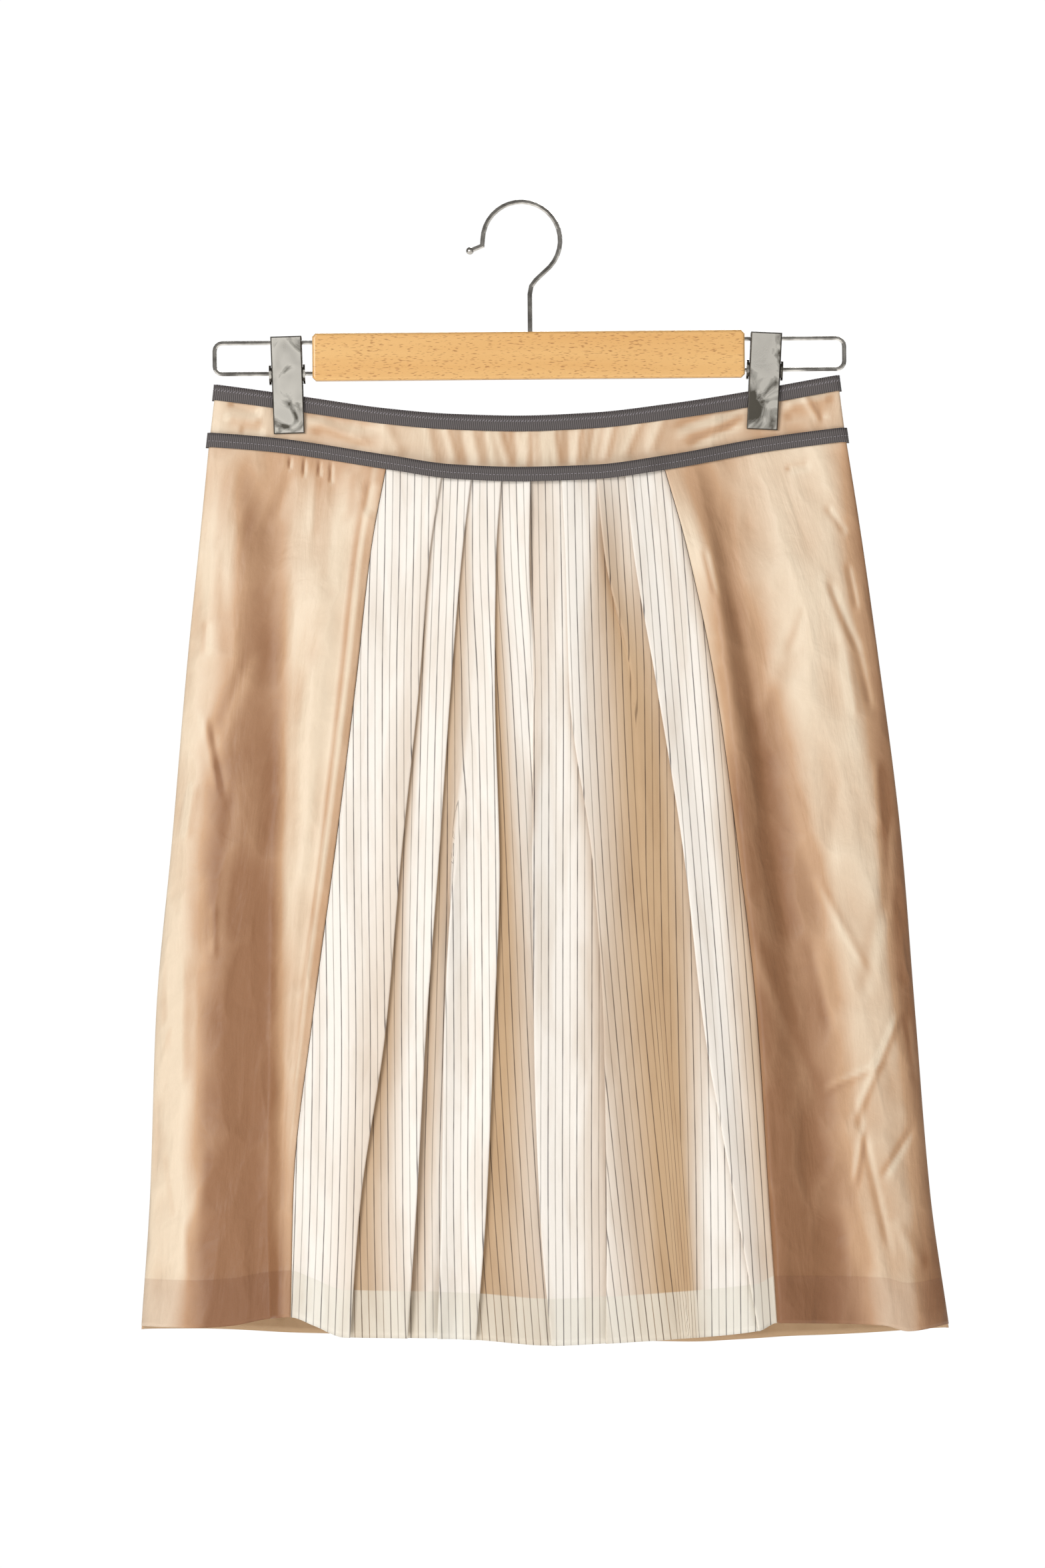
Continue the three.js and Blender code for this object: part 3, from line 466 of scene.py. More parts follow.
outer = node(tree, "MixRGB", {"Fac": 1.0, "Color1": painted_shade_ramp.outputs["Color"],
                              "Color2": hem_tone.outputs["Color"]}, blend_type="MULTIPLY")
flat_side = node(tree, "Attribute", attribute_name="inside")
both = node(tree, "MixRGB", {"Fac": flat_side.outputs["Fac"], "Color1": outer.outputs["Color"],
                             "Color2": linear("#C4A27C")})
tree.links.new(both.outputs["Color"], shader.inputs["Base Color"])
tree.links.new(fine.outputs["Normal"], shader.inputs["Normal"])

# The satin panels: two front side panels and two back ones, cut to shape, with a 26 mm hem turned up
# inside. Creases that show are placed one by one, and like ones behind, in mm: top, foot, width, height.
LEFT_CREASES = [
    (-132.2, -143, -132.4, -148, 0.8, -1), (-124.1, -143, -124.4, -153, 0.8, -1),
    (-115.5, -144, -115.7, -153, 0.8, -1), (-108.8, -145, -109.2, -157, 0.8, -1),
    (-156, -256, -179.5, -310, 4.5, -0.5), (-182.3, -290, -174.6, -331, 2.8, 0.5),
    (-178, -294, -171, -333, 2.8, -0.5), (-180, -236, -181, -254, 2.5, -0.4),
    (-188.4, -329, -192.7, -357, 2.8, 0.5), (-194.7, -428, -196, -494, 3.4, 0.6),
    (-177.7, -398, -177.7, -424, 2.2, 0.4), (-202.8, -463, -212.8, -486, 2.8, 0.4),
    (-203.4, -540, -198.8, -574, 3.4, -0.5), (-182.9, -534, -188, -572, 4.5, 0.4),
    (-196, -575, -194.3, -610, 3.4, 0.4), (-86.3, -158, -88.2, -174, 2.8, -0.6),
    (-107.3, -156, -110.6, -212, 4.5, -0.4), (-132, -153, -141, -178, 4.5, -0.4),
    (-98, -150, -100, -176, 3.4, 0.4), (-170, -150, -178, -230, 5.6, 0.4),
    (-166, -330, -178, -420, 4.5, -0.4), (-188, -380, -184, -450, 4.5, -0.4),
    (-118, -152, -120, -186, 3.4, 0.4), (-172, -190, -168, -260, 4.5, -0.4),
    (-206, -420, -204, -470, 3.4, -0.4), (-126, -270, -130, -350, 3.9, -0.3),
    (-118, -300, -124, -380, 3.4, 0.2),
]
RIGHT_CREASES = [
    (149.9, -151.8, 162.2, -149.9, 1.8, -0.6), (102.4, -198, 108.2, -223, 1.7, -0.5),
    (172.3, -174, 182.3, -188, 2.2, -0.5), (173.3, -218, 187.6, -252, 2.7, -0.8),
    (187.6, -250, 196, -287, 2.7, -0.6), (170, -213, 182, -254, 3.4, 0.4),
    (183.6, -207, 188.5, -231, 2.2, -0.5), (181.7, -256, 187.2, -291, 2.8, 0.5),
    (160.1, -231, 149.9, -256, 3.4, -0.4), (154, -240, 134, -290, 5.6, 0.4),
    (198.5, -320, 201.1, -357, 3.4, 0.5), (124.5, -412, 163.3, -505, 4.5, 0.4),
    (166.2, -388, 191.6, -436, 2.8, 0.5), (209.2, -464, 185.9, -518, 2.5, 0.5),
    (170.1, -503, 199, -490, 2.2, 0.45), (186.9, -518, 203, -592, 2.5, -0.5),
    (189.7, -525, 184.5, -556, 2.2, 0.5), (216.5, -528, 200.6, -553, 2.5, -0.5),
    (215.2, -465, 220.5, -500, 2.2, -0.5), (200, -400, 190, -450, 4.5, -0.4),
    (150, -330, 168, -392, 4.5, 0.4), (206, -350, 203, -410, 3.4, -0.4), (160, -420, 172, -470, 3.9, -0.4),
    (178, -560, 190, -604, 4.5, 0.4), (208, -580, 222, -604, 3.4, 0.4), (176, -330, 170, -380, 5.6, -0.3),
]
BACK_LEFT_CREASES = [
    (-150, -150, -160, -300, 5, 1.0), (-120, -170, -112, -330, 6, -0.9), (-70, -160, -62, -300, 5, 1.0),
    (-30, -170, -26, -280, 5, -0.8), (-180, -240, -150, -380, 7, 1.0), (-100, -360, -130, -520, 7, 1.0),
    (-60, -400, -44, -600, 7, -1.0), (-190, -450, -200, -600, 6, 0.9), (-20, -330, -24, -520, 6, 0.8),
    (-140, -145, -136, -190, 3, -1.0), (-128, -146, -127, -184, 2.4, -0.9),
]
BACK_RIGHT_CREASES = [
    (150, -150, 164, -290, 5, 1.0), (120, -170, 108, -320, 6, -0.9), (74, -160, 66, -290, 5, 1.0),
    (36, -170, 30, -300, 5, -0.8), (190, -240, 160, -390, 7, 1.0), (106, -350, 136, -520, 7, 1.0),
    (60, -380, 50, -590, 7, -1.0), (200, -440, 214, -600, 6, 0.9), (22, -330, 26, -540, 6, 0.8),
    (144, -142, 140, -190, 3, -1.0), (132, -144, 131, -184, 2.4, -0.9),
]
# Painted shade: where the satin turns its face from the light it looks deep brown, and this is painted into
# its colour. Lines down the front panels, x at the shares and how deep the painted shade is, from 0 on the
# palest crest to 1 in the trough.
LEFT_PAINTED_SHADE = [
    {"x": LINES["side_left"], "deep": [0.3, 0.1, 0.1, 0.05, 0, 0, 0]},
    {"x": [-168, -168, -179, -190, -194, -199, -204], "deep": [0.3, 0.15, 0.15, 0.2, 0.15, 0.02, 0.1]},
    {"x": [-156, -156, -165, -175, -180, -182, -184], "deep": [0.3, 0.8, 0.65, 0.85, 0.87, 0.9, 1]},
    {"x": [-150, -148, -150, -152, -160, -168, -170], "deep": [0.35, 0.7, 0.95, 1, 1.1, 1.08, 1.15]},
    {"x": [-138, -138, -141, -144, -146, -148, -144], "deep": [0.5, 0.5, 0.85, 0.95, 1, 1, 1.1]},
    {"x": [-126, -122, -129, -133, -135.5, -138.5, -140], "deep": [0.7, 0.1, 0.05, 0.15, 0.3, 0.6, 0.8]},
    {"x": [-92, -99, -107, -118, -130, -137, -139], "deep": [0.5, 0.05, 0.02, 0.05, 0.2, 0.5, 0.7]},
    {"x": [-85.8, -95, -103.6, -116, -128.6, -136.6, -138.6], "deep": [0.5, 0.5, 0.5, 0.45, 0.35, 0.5, 0.7]},
    {"x": [-83.2, -92.5, -101.2, -114, -127.2, -136, -138], "deep": [0.3, 0, 0, 0.05, 0.1, 0.45, 0.7]},
    {"x": [-80.2, -89.6, -98.4, -111.4, -125, -135.2, -137.2], "deep": [0.5, 0.45, 0.5, 0.5, 0.4, 0.5, 0.7]},
    {"x": LINES["seam_left"], "deep": [0.6, 0.4, 0.5, 0.5, 0.35, 0.5, 0.7]},
]
RIGHT_PAINTED_SHADE = [
    {"x": LINES["seam_right"], "deep": [0.3, 0.05, 0.2, 0.6, 0.8, 0.9, 1.1]},
    {"x": [84, 97, 110, 122, 132, 137.5, 142], "deep": [0.3, 0.05, 0.45, 0.9, 0.95, 1, 1.1]},
    {"x": [98, 108, 120, 135, 145, 152, 156], "deep": [0.45, 0.8, 0.9, 1, 1, 1.05, 1.15]},
    {"x": [110, 121, 135, 153, 166, 171, 177], "deep": [0.4, 0.45, 0.6, 0.75, 0.8, 0.9, 1]},
    {"x": [136, 141, 153, 175, 187, 193, 203], "deep": [0.2, 0.12, 0.05, 0.15, 0.15, 0.35, 0.2]},
    {"x": [166, 172, 178, 194, 204, 212, 214], "deep": [0.05, 0.1, 0.05, 0.15, 0.25, 0.35, 0.25]},
    {"x": [178, 186, 196, 205, 214, 223, 226], "deep": [0.3, 0.7, 0.75, 0.95, 0.9, 0.8, 0.9]},
    {"x": LINES["side_right"], "deep": [0.8, 1, 1, 1, 1, 1, 1]},
]
LEVELS = {"front": 230, "back": 150}
HEM_SHARE = 1 - HEM_DEPTH / PANEL_HEIGHT
HEM_EDGE_WIDTH = 1.6
HEM_RIDGE = 0.28
HEM_LAYER = 0.6
BACK_CUT_AT = 500


def level_shares(count):
    """Even levels down a panel, with two close ones where the hem's turned edge lies."""
    even = np.linspace(0, 1, count - 1)
    return np.sort(np.concatenate([even, [HEM_SHARE - 0.0015, HEM_SHARE]]))


def in_hem(share):
    return share > HEM_SHARE - 0.0005


def inner_at(share):
    """How far the inner face lies inside the middle: the hem is two layers."""
    return WALL / 2 + HEM_LAYER * in_hem(share)


def hem_step(share):
    """The turned edge shows through as a faint ridge, in mm."""
    return HEM_RIDGE * math.exp(-(((share - HEM_SHARE) * PANEL_HEIGHT / HEM_EDGE_WIDTH) ** 2))


def slope_painted_shade(off, x, z):
    """How much deeper a crease's painted shade is, where its face turns from the light at the upper left."""
    across = np.gradient(off, axis=1) / np.gradient(x, axis=1)
    down = np.gradient(off, axis=0) / np.gradient(z, axis=0)
    return np.clip(1.3 * (0.5 * down - across), -0.3, 0.45)


def satin_painted_shade(x, share, side):
    """How deep the painted shade of a satin panel is: by its lines in front, by its troughs behind."""
    if side == "front":
        return between(LEFT_PAINTED_SHADE if x[0] < 0 else RIGHT_PAINTED_SHADE, "deep", x, share)
    return np.clip(0.4 - back_swell(x, share) / 16, 0, 1)


def satin_panel(name, start, stop, side, steps, creases):
    """One satin panel between two lines, given as functions of the share down and of the two sides."""
    facing = -1 if side == "front" else 1
    rows, outs, uvs, inner, hem, tone, offs = [], [], [], [], [], [], []
    for share in level_shares(LEVELS[side]):
        left, right = sides_at(share)
        xs = spread(start(share, left, right), stop(share, left, right), left, right, steps)
        z = panel_z(xs, share, side)
        from_side = np.minimum(xs - left, right - xs)
        off = creased(xs, z, creases) * smooth(from_side / 9) * smooth((share - 0.004) / 0.02)
        offs.append(off)
        off = off + hem_step(share)
        y = facing * (np.maximum(0.15, reach(xs, z, share, side)) + off * smooth(from_side / 9))
        xy = np.stack([xs, y], axis=1)
        ends = [(-1, 0) if x < left + 1 else (1, 0) if x > right - 1 else (0, facing)
                for x in (xs[0], xs[-1])]
        rows.append(np.column_stack([xy, z]))
        outs.append(outward(xy, *ends))
        uvs.append(np.column_stack([run_length(xy) + (0 if side == "front" else BACK_CUT_AT), -z]))
        inner.append(inner_at(share))
        hem.append(np.full(len(xs), float(in_hem(share))))
        tone.append(satin_painted_shade(xs, share, side))
    rows = np.array(rows)
    # Painted shade: the listed shade plus the painted shade of creases that turn from the light.
    deep = np.array(tone) + slope_painted_shade(np.array(offs), rows[:, :, 0], rows[:, :, 2])
    return cloth(name, rows, np.array(outs), np.array(uvs), inner, tan_satin,
                 {"double": np.array(hem), "deep": deep})


def centre_back(share):
    return 2 + 3 * share


SATIN_PANELS = {
    "front_left": (lambda s, left, right: left, lambda s, left, right: line_at("seam_left", s) - 0.15,
                   "front", 150, LEFT_CREASES, (0.125, 0.54)),
    "front_right": (lambda s, left, right: line_at("seam_right", s) + 0.15, lambda s, left, right: right,
                    "front", 150, RIGHT_CREASES, (0.135, 0.54)),
    "back_right": (lambda s, left, right: right, lambda s, left, right: centre_back(s) + 0.15,
                   "back", 130, BACK_RIGHT_CREASES, (0.265, 0.55)),
    "back_left": (lambda s, left, right: centre_back(s) - 0.15, lambda s, left, right: left,
                  "back", 130, BACK_LEFT_CREASES, (0.255, 0.55)),
}
for name, (start, stop, side, steps, creases, flat) in SATIN_PANELS.items():
    panel = satin_panel(f"{name}_satin", start, stop, side, steps, creases)
    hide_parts(name)

# The striped front: cream cotton with a grey warp stripe every 8.2 mm and a finer one between, in seven
# pleats laid in under the ribbon and let fall, with one more fold, the third, that forms lower down. It
# is a little see-through, so one layer looks tan over the satin behind it and tucked layers cream; the tan
# is also painted shade, darkest beside the folds.
STRIPE = 8.2
# Each fold: x of its edge, its turn in degrees, its depth and the radius of its turns in mm at the shares,
# and the width over which the cloth climbs back, at the top and at the hem
ROUND = [0.8, 0.8, 0.85, 0.9, 1, 1.1, 1.2]
PLEATS = [
    {"edge": [-46.4, -54, -60.3, -71.3, -80.9, -96.1, -102.4], "turn": [176, 175, 174, 173, 172, 172, 170],
     "depth": [9.5, 10, 11, 12, 12.5, 12.5, 12], "round": ROUND, "ease": (17, 40)},
    {"edge": [-29.7, -35.8, -42.5, -50.1, -58.1, -64.3, -69.8], "turn": [176, 175, 174, 172, 165, 140, 110],
     "depth": [9.5, 10, 10.5, 11, 9, 6, 4], "round": ROUND, "ease": (17, 30)},
    {"edge": [-20, -24, -30, -41, -47.2, -49.5, -52.4], "turn": [0, 0, 0, -60, -168, -165, -120],
     "depth": [3, 3, 4, 6, 7, 7, 7], "round": [0.4, 0.4, 0.5, 0.8, 0.9, 1, 1.2], "ease": (14, 22)},
    {"edge": [-12.7, -16.3, -17.5, -15.7, -19.9, -24.9, -31.2], "turn": [176, 175, 174, 173, 172, 172, 170],
     "depth": [9.5, 10, 10.5, 12, 12, 11, 9], "round": ROUND, "ease": (17, 36)},
    {"edge": [3.6, 2.6, 5, 3.4, 3.6, 6.1, 12], "turn": [176, 120, -30, -150, -172, -170, -168],
     "depth": [9.5, 3.5, 0.4, 7, 12, 12, 12], "round": [0.8, 0.8, 0.8, 1, 1, 1.1, 1.2], "ease": (17, 34)},
    {"edge": [21.8, 23.8, 25.3, 37.7, 43.1, 43.8, 42.6], "turn": [-176, -175, -174, -172, -168, -165, -160],
     "depth": [9.5, 10, 11, 12, 12, 9, 6], "round": ROUND, "ease": (17, 38)},
    {"edge": [41.5, 46.3, 61, 66, 75, 84, 90], "turn": [-176, -130, -30, -12, 0, -10, -20],
     "depth": [9.5, 3.5, 0.4, 0.4, 2, 4, 6], "round": [0.8, 0.8, 0.8, 1, 1.6, 1.9, 2], "ease": (17, 34)},
    {"edge": [57.7, 62.6, 74.5, 89.2, 99.7, 116.3, 128.9], "turn": [-176, -175, -174, -173, -172, -170, -165],
     "depth": [9.5, 10, 11, 12, 12, 9, 6], "round": [0.8, 0.8, 0.85, 0.9, 1, 1, 1], "ease": (15, 16)},
]
# The stretches between them: how far the stripes lean from upright, the width from either end that shows
# tan, in mm, and how tan it is, all at the shares. The tan is the satin seen through one layer, and painted
# shade beside the folds, darkest at the fold.
STRETCHES = [
    {"lean": [0, -1, -3, -3.5, -3, -5, -8], "left": [0] * 7, "right": [0, 4, 10, 16, 20, 18, 14],
     "tan": [0.1, 0.2, 0.25, 0.35, 0.4, 0.35, 0.3]},
    {"lean": [0, -2, -5, -8, -10, -10, -9], "left": [0, 2, 3.5, 5.5, 12, 24, 38], "right": [0] * 7,
     "tan": [0.3, 0.75, 0.85, 0.9, 0.95, 0.95, 0.95]},
    {"lean": [0, -0.5, 1, 0, -3, -6, -6], "left": [0, 7, 12, 14, 14, 12, 11], "right": [0] * 7,
     "tan": [0.2, 0.75, 0.9, 0.9, 0.85, 0.8, 0.75]},
    {"lean": [0, 0, 2, 3, 3, 2, 3], "left": [0] * 7, "right": [0] * 7, "tan": [0] * 7},
    {"lean": [0, 1, 5, 9, 12, 17, 22], "left": [0, 5, 10, 15, 31, 40, 70], "right": [0] * 7,
     "tan": [0.2, 0.85, 1, 1.1, 1.1, 1, 0.95]},
    {"lean": [0, 0.5, 1, 0, -1, -2, -2], "left": [18, 18, 10, 0, 0, 0, 0], "right": [0, 0, 2, 7, 12, 12, 12],
     "tan": [0.35, 0.45, 0.4, 0.5, 0.6, 0.4, 0.35]},
    {"lean": [0, 0.5, 2, 6, 13, 22, 30], "left": [0] * 7, "right": [0, 10, 28, 36, 50, 42, 44],
     "tan": [0.2, 0.9, 1, 1, 1, 1.1, 1.15]},
    {"lean": [0, 3, 6, 6, 7, 8, 8], "left": [14, 22, 36, 46, 30, 13, 10], "right": [0] * 7,
     "tan": [0.35, 0.75, 1, 1.1, 1.1, 1.1, 1.05]},
    {"lean": [0, 4, 9, 16, 23, 29, 33], "left": [0] * 7, "right": [3, 4, 6, 12, 16, 16, 14],
     "tan": [0.3, 0.4, 0.6, 0.75, 0.8, 0.7, 0.5]},
]
PRESSED = 0.62
TURN_STEPS = 9
FLAT_STEPS = 13


def pleat_at(pleat, share):
    """One pleat's points across, in mm from its own depth: a turn, a flat run back and a turn on."""
    angle = math.radians(float(follow(SHARES, pleat["turn"], share)))
    depth = float(follow(SHARES, pleat["depth"], share))
    turn = max(0.02, abs(angle))
    radius = PRESSED * float(follow(SHARES, pleat["round"], share)) * math.pi / turn
    a = np.linspace(0, turn, TURN_STEPS + 1)
    first = np.column_stack([radius * np.sin(a), radius * (1 - np.cos(a))])
    back = first[-1] + depth * np.array([math.cos(turn), math.sin(turn)])
    flat = first[-1] + (back - first[-1]) * np.array([[0.25], [0.5], [0.75]])
    b = a[::-1]
    last = back + radius * np.column_stack([math.sin(turn) - np.sin(b), np.cos(b) - math.cos(turn)])
    path = np.concatenate([first, flat, last])
    across, rise = path[-1]
    facing = max(-1, min(1, angle / math.radians(90)))
    middle = float(follow(SHARES, pleat["edge"], share)) - facing * (
        radius * math.sin(min(turn, math.pi / 2)) - across / 2)
    path = path - [across / 2, rise / 2]
    if angle < 0:
        path = (path * [-1, 1])[::-1]
        rise = -rise
    ease = pleat["ease"][0] + (pleat["ease"][1] - pleat["ease"][0]) * share
    return path + [middle, 0], middle, rise, ease


def tan_part(stretch, x, left, right, share):
    """How tan the cloth of a stretch looks: 1 where it is one layer, 0 where other layers lie under it; the
    tan is partly the satin seen through it and partly painted shade, darkest beside the fold.
    """
    strength, near_left, near_right = (float(follow(SHARES, stretch[k], share))
                                       for k in ("tan", "left", "right"))
    shown = np.zeros_like(x)
    for width, away in ((near_left, x - left), (near_right, right - x)):
        shown = np.maximum(shown, (1 - smooth(away / max(2.0, 1.35 * width))) * min(1, width))
    return strength * shown


def pleated_section(share):
    """The folded front at one level: x, depth behind the plain front, place in the stripes and tan part."""
    start, stop = line_at("seam_left", share) + 0.15, line_at("seam_right", share) - 0.15
    folds = [pleat_at(pleat, share) for pleat in PLEATS]
    leans = [float(follow(SHARES, stretch["lean"], share)) for stretch in STRETCHES]
    shown = [start] + [float(follow(SHARES, pleat["edge"], share)) for pleat in PLEATS] + [stop]
    path, stripes, tan, depth, x = [], [], [], 0.0, start
    for k in range(len(STRETCHES)):
        last = k == len(PLEATS)
        end = stop if last else folds[k][0][0, 0]
        flat = np.linspace(x, end, FLAT_STEPS + 2)[(0 if k == 0 else 1):(None if last else -1)]
        path.append(np.column_stack([flat, np.full(len(flat), depth)]))
        stripes.append(flat - leans[k])
        tan.append(tan_part(STRETCHES[k], flat, shown[k], shown[k + 1], share))
        if last:
            break
        points, middle, rise, ease = folds[k]
        path.append(points + [0, depth + rise / 2])
        along = run_length(points)
        closed = max(0, min(1, (abs(float(follow(SHARES, PLEATS[k]["turn"], share))) - 15) / 30))
        from_u, to_u = points[0, 0] - leans[k], points[-1, 0] - leans[k + 1]
        plain = from_u + (to_u - from_u) * along / along[-1]
        real = np.where(along < along[-1] / 2, from_u + along, to_u - (along[-1] - along))
        stripes.append(plain * (1 - closed) + real * closed)
        before = tan_part(STRETCHES[k], points[:, 0], shown[k], shown[k + 1], share)
        after = tan_part(STRETCHES[k + 1], points[:, 0], shown[k + 1], shown[k + 2], share)
        tan.append(before + (after - before) * smooth(4 * along / along[-1] - 1.5))
        depth += rise
        x = points[-1, 0]
    path = np.concatenate(path)
    climb = sum(-rise * smooth((path[:, 0] - middle) / ease + 0.5) for points, middle, rise, ease in folds)
    return path[:, 0], path[:, 1] + climb, np.concatenate(stripes), np.concatenate(tan)


striped_cotton, tree, shader = new_material("cream_striped_cotton", {
    "Roughness": 0.72, "Specular IOR Level": 0.4, "Sheen Weight": 0.2, "Sheen Roughness": 0.5})
cut = node(tree, "UVMap", uv_map="cut")
parts = node(tree, "SeparateXYZ", {0: cut.outputs[0]})


def stripe_mask(tree, across, offset, half_width):
    """1 on a stripe and 0 between, for a stripe every STRIPE mm of the cloth's width."""
    turned = node(tree, "Math", {0: across, 1: 1000 / STRIPE, 2: offset}, operation="MULTIPLY_ADD")
    part = node(tree, "Math", {0: turned.outputs[0]}, operation="FRACT")
    away = node(tree, "Math", {0: part.outputs[0], 1: 0.5}, operation="SUBTRACT")
    away = node(tree, "Math", {0: away.outputs[0]}, operation="ABSOLUTE")
    return node(tree, "MapRange", {"Value": away.outputs[0], "From Min": half_width / STRIPE,
                                   "From Max": (half_width + 0.25) / STRIPE, "To Min": 1.0, "To Max": 0.0})


slub_place = node(tree, "Mapping", {"Vector": cut.outputs[0], "Scale": (700.0, 60.0, 1)})
slub = node(tree, "TexNoise", {"Vector": slub_place.outputs[0], "Scale": 1.0, "Detail": 2.0})
# See-through tan and painted shade: the cream turns tan where one layer lies over the satin, and beside the
# folds.
deep = node(tree, "Attribute", attribute_name="see_through_and_painted_shade")
see_through_tan_and_painted_shade = node(tree, "MixRGB", {"Fac": deep.outputs["Fac"], "Color1": linear("#F0E9E0"),
                             "Color2": linear("#BF9F7B")})
turned_up = node(tree, "Attribute", attribute_name="double")
hem_part = node(tree, "Math", {0: turned_up.outputs["Fac"], 1: 0.65}, operation="MULTIPLY")
see_through_tan_and_painted_shade = node(tree, "MixRGB", {"Fac": hem_part.outputs[0], "Color1": see_through_tan_and_painted_shade.outputs["Color"],
                             "Color2": linear("#DDD8CA")})
main_line = stripe_mask(tree, parts.outputs[0], 0.0, 0.135)
thin_line = stripe_mask(tree, parts.outputs[0], 0.5, 0.1)
# The stripes darken with the see-through tan and painted shade as well.
dark, pale = (node(tree, "MixRGB", {"Fac": deep.outputs["Fac"], "Color1": linear(layered),
                                    "Color2": linear(alone)})
              for layered, alone in (("#625C5B", "#553F2C"), ("#A59E97", "#7E6448")))
broken = node(tree, "MapRange", {"Value": slub.outputs["Fac"], "From Min": 0.3, "From Max": 0.6,
                                 "To Min": 0.65, "To Max": 1.0})
main_part = node(tree, "Math", {0: main_line.outputs[0], 1: broken.outputs[0]}, operation="MULTIPLY")
thin_part = node(tree, "Math", {0: thin_line.outputs[0], 1: broken.outputs[0]}, operation="MULTIPLY")
striped = node(tree, "MixRGB", {"Fac": thin_part.outputs[0], "Color1": see_through_tan_and_painted_shade.outputs["Color"],
                                "Color2": pale.outputs["Color"]})
striped = node(tree, "MixRGB", {"Fac": main_part.outputs[0], "Color1": striped.outputs["Color"],
                                "Color2": dark.outputs["Color"]})
threads = node(tree, "Mapping", {"Vector": cut.outputs[0], "Scale": (2200.0, 2200.0, 1)})
weave = node(tree, "TexNoise", {"Vector": threads.outputs[0], "Scale": 1.0, "Detail": 1.0})
hanging = node(tree, "Mapping", {"Vector": cut.outputs[0], "Rotation": (0, 0, math.radians(8)),
                                 "Scale": (75.0, 13.0, 1)})
crumple = node(tree, "TexNoise", {"Vector": hanging.outputs[0], "Scale": 1.0, "Detail": 4.0,
                                  "Distortion": 0.4})
# Painted shade: the cream darkens in the hollows of the same noise that raises its soft wrinkles.
painted_wrinkle_shade = node(tree, "ValToRGB", {"Fac": crumple.outputs["Fac"]},
              stops=((0.3, "#D9CBBB"), (0.55, "#FFFFFF")))
striped = node(tree, "MixRGB", {"Fac": 0.4, "Color1": striped.outputs["Color"],
                                "Color2": painted_wrinkle_shade.outputs["Color"]}, blend_type="MULTIPLY")
soft = node(tree, "Bump", {"Height": crumple.outputs["Fac"], "Strength": 0.35, "Distance": 0.002})
fine = node(tree, "Bump", {"Height": weave.outputs["Fac"], "Strength": 0.2, "Distance": 0.0001,
                           "Normal": soft.outputs["Normal"]})
tree.links.new(striped.outputs["Color"], shader.inputs["Base Color"])
tree.links.new(fine.outputs["Normal"], shader.inputs["Normal"])

rows, outs, uvs, inner, see_through_and_painted_shade, hem = [], [], [], [], [], []
for share in level_shares(130):
    xs, behind, stripes, tan = pleated_section(share)
    z = panel_z(xs, share, "front")
    xy = np.column_stack([xs, -reach(xs, z, share, "front") + behind - hem_step(share)])
    outs.append(outward(xy, (0, -1), (0, -1)))
    rows.append(np.column_stack([xy, z]))
    uvs.append(np.column_stack([stripes, -z]))
    inner.append(inner_at(share))
    see_through_and_painted_shade.append(tan)
    hem.append(np.full(len(xs), float(in_hem(share))))
front_centre = cloth("front_centre_striped", np.array(rows), np.array(outs), np.array(uvs), inner,
                     striped_cotton,
                     {"see_through_and_painted_shade": np.array(see_through_and_painted_shade), "double": np.array(hem)})
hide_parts("front_centre")

# The waistband: a shaped band of the same satin, 20 mm high between the ribbons, front and back. Small
# gathers stand in its middle and it is dragged into short slanting creases beside the clips.
PLEAT_STACK = 3.5
STRIP_INNER = 0.3
WAIST_ENDS = (-174.3, 179)
BAND_CREASES = [
    (-55, -122, -50, -146, 2.4, 0.5), (-44, -125, -38, -146, 1.8, 0.7), (-36, -126, -31, -148, 1.4, -0.6),
    (-29, -127, -25, -148, 1.4, 0.7), (-22, -127, -19, -149, 1.3, -0.6), (-14, -128, -8, -149, 1.4, 0.7),
    (-5, -128, -3, -149, 1.3, -0.6), (3, -129, 2, -149, 1.4, 0.7), (10, -128, 11, -149, 1.3, -0.6),
    (17, -128, 20, -149, 1.5, 0.8), (25, -127, 26, -148, 1.3, -0.6), (32, -127, 30, -148, 1.5, 0.7),
    (41, -125, 37, -147, 1.6, -0.5), (52, -123, 46, -146, 2.2, 0.6), (68, -120, 58, -143, 2.4, 0.5),
    (-122, -118, -84, -127, 2.2, -0.9), (-120, -123, -88, -134, 2.4, 0.8),
    (-118, -128, -92, -139, 2, -0.8), (-150, -117, -166, -112, 2.2, -0.8),
    (-150, -122, -168, -120, 2.4, 0.7), (-148, -128, -160, -127, 2, -0.6),
    (124, -117, 88, -127, 2.2, -1.0), (122, -122, 90, -133, 2.4, 0.9), (122, -127, 96, -137, 2, -0.9),
    (150, -111, 172, -106, 2, -0.9), (150, -116, 174, -112, 2.2, 0.8), (150, -122, 172, -122, 2, -0.8),
    (158, -108, 168, -124, 2.2, 0.6), (-80, -121, -70, -141, 3, 0.5), (80, -121, 72, -141, 3, 0.5),
]


def band_lift(x):
    """How far the lower ribbon stands out over the pleats, in mm."""
    return PLEAT_STACK * smooth((line_at("seam_right", 0) + 4 - np.abs(x - 1)) / 16)


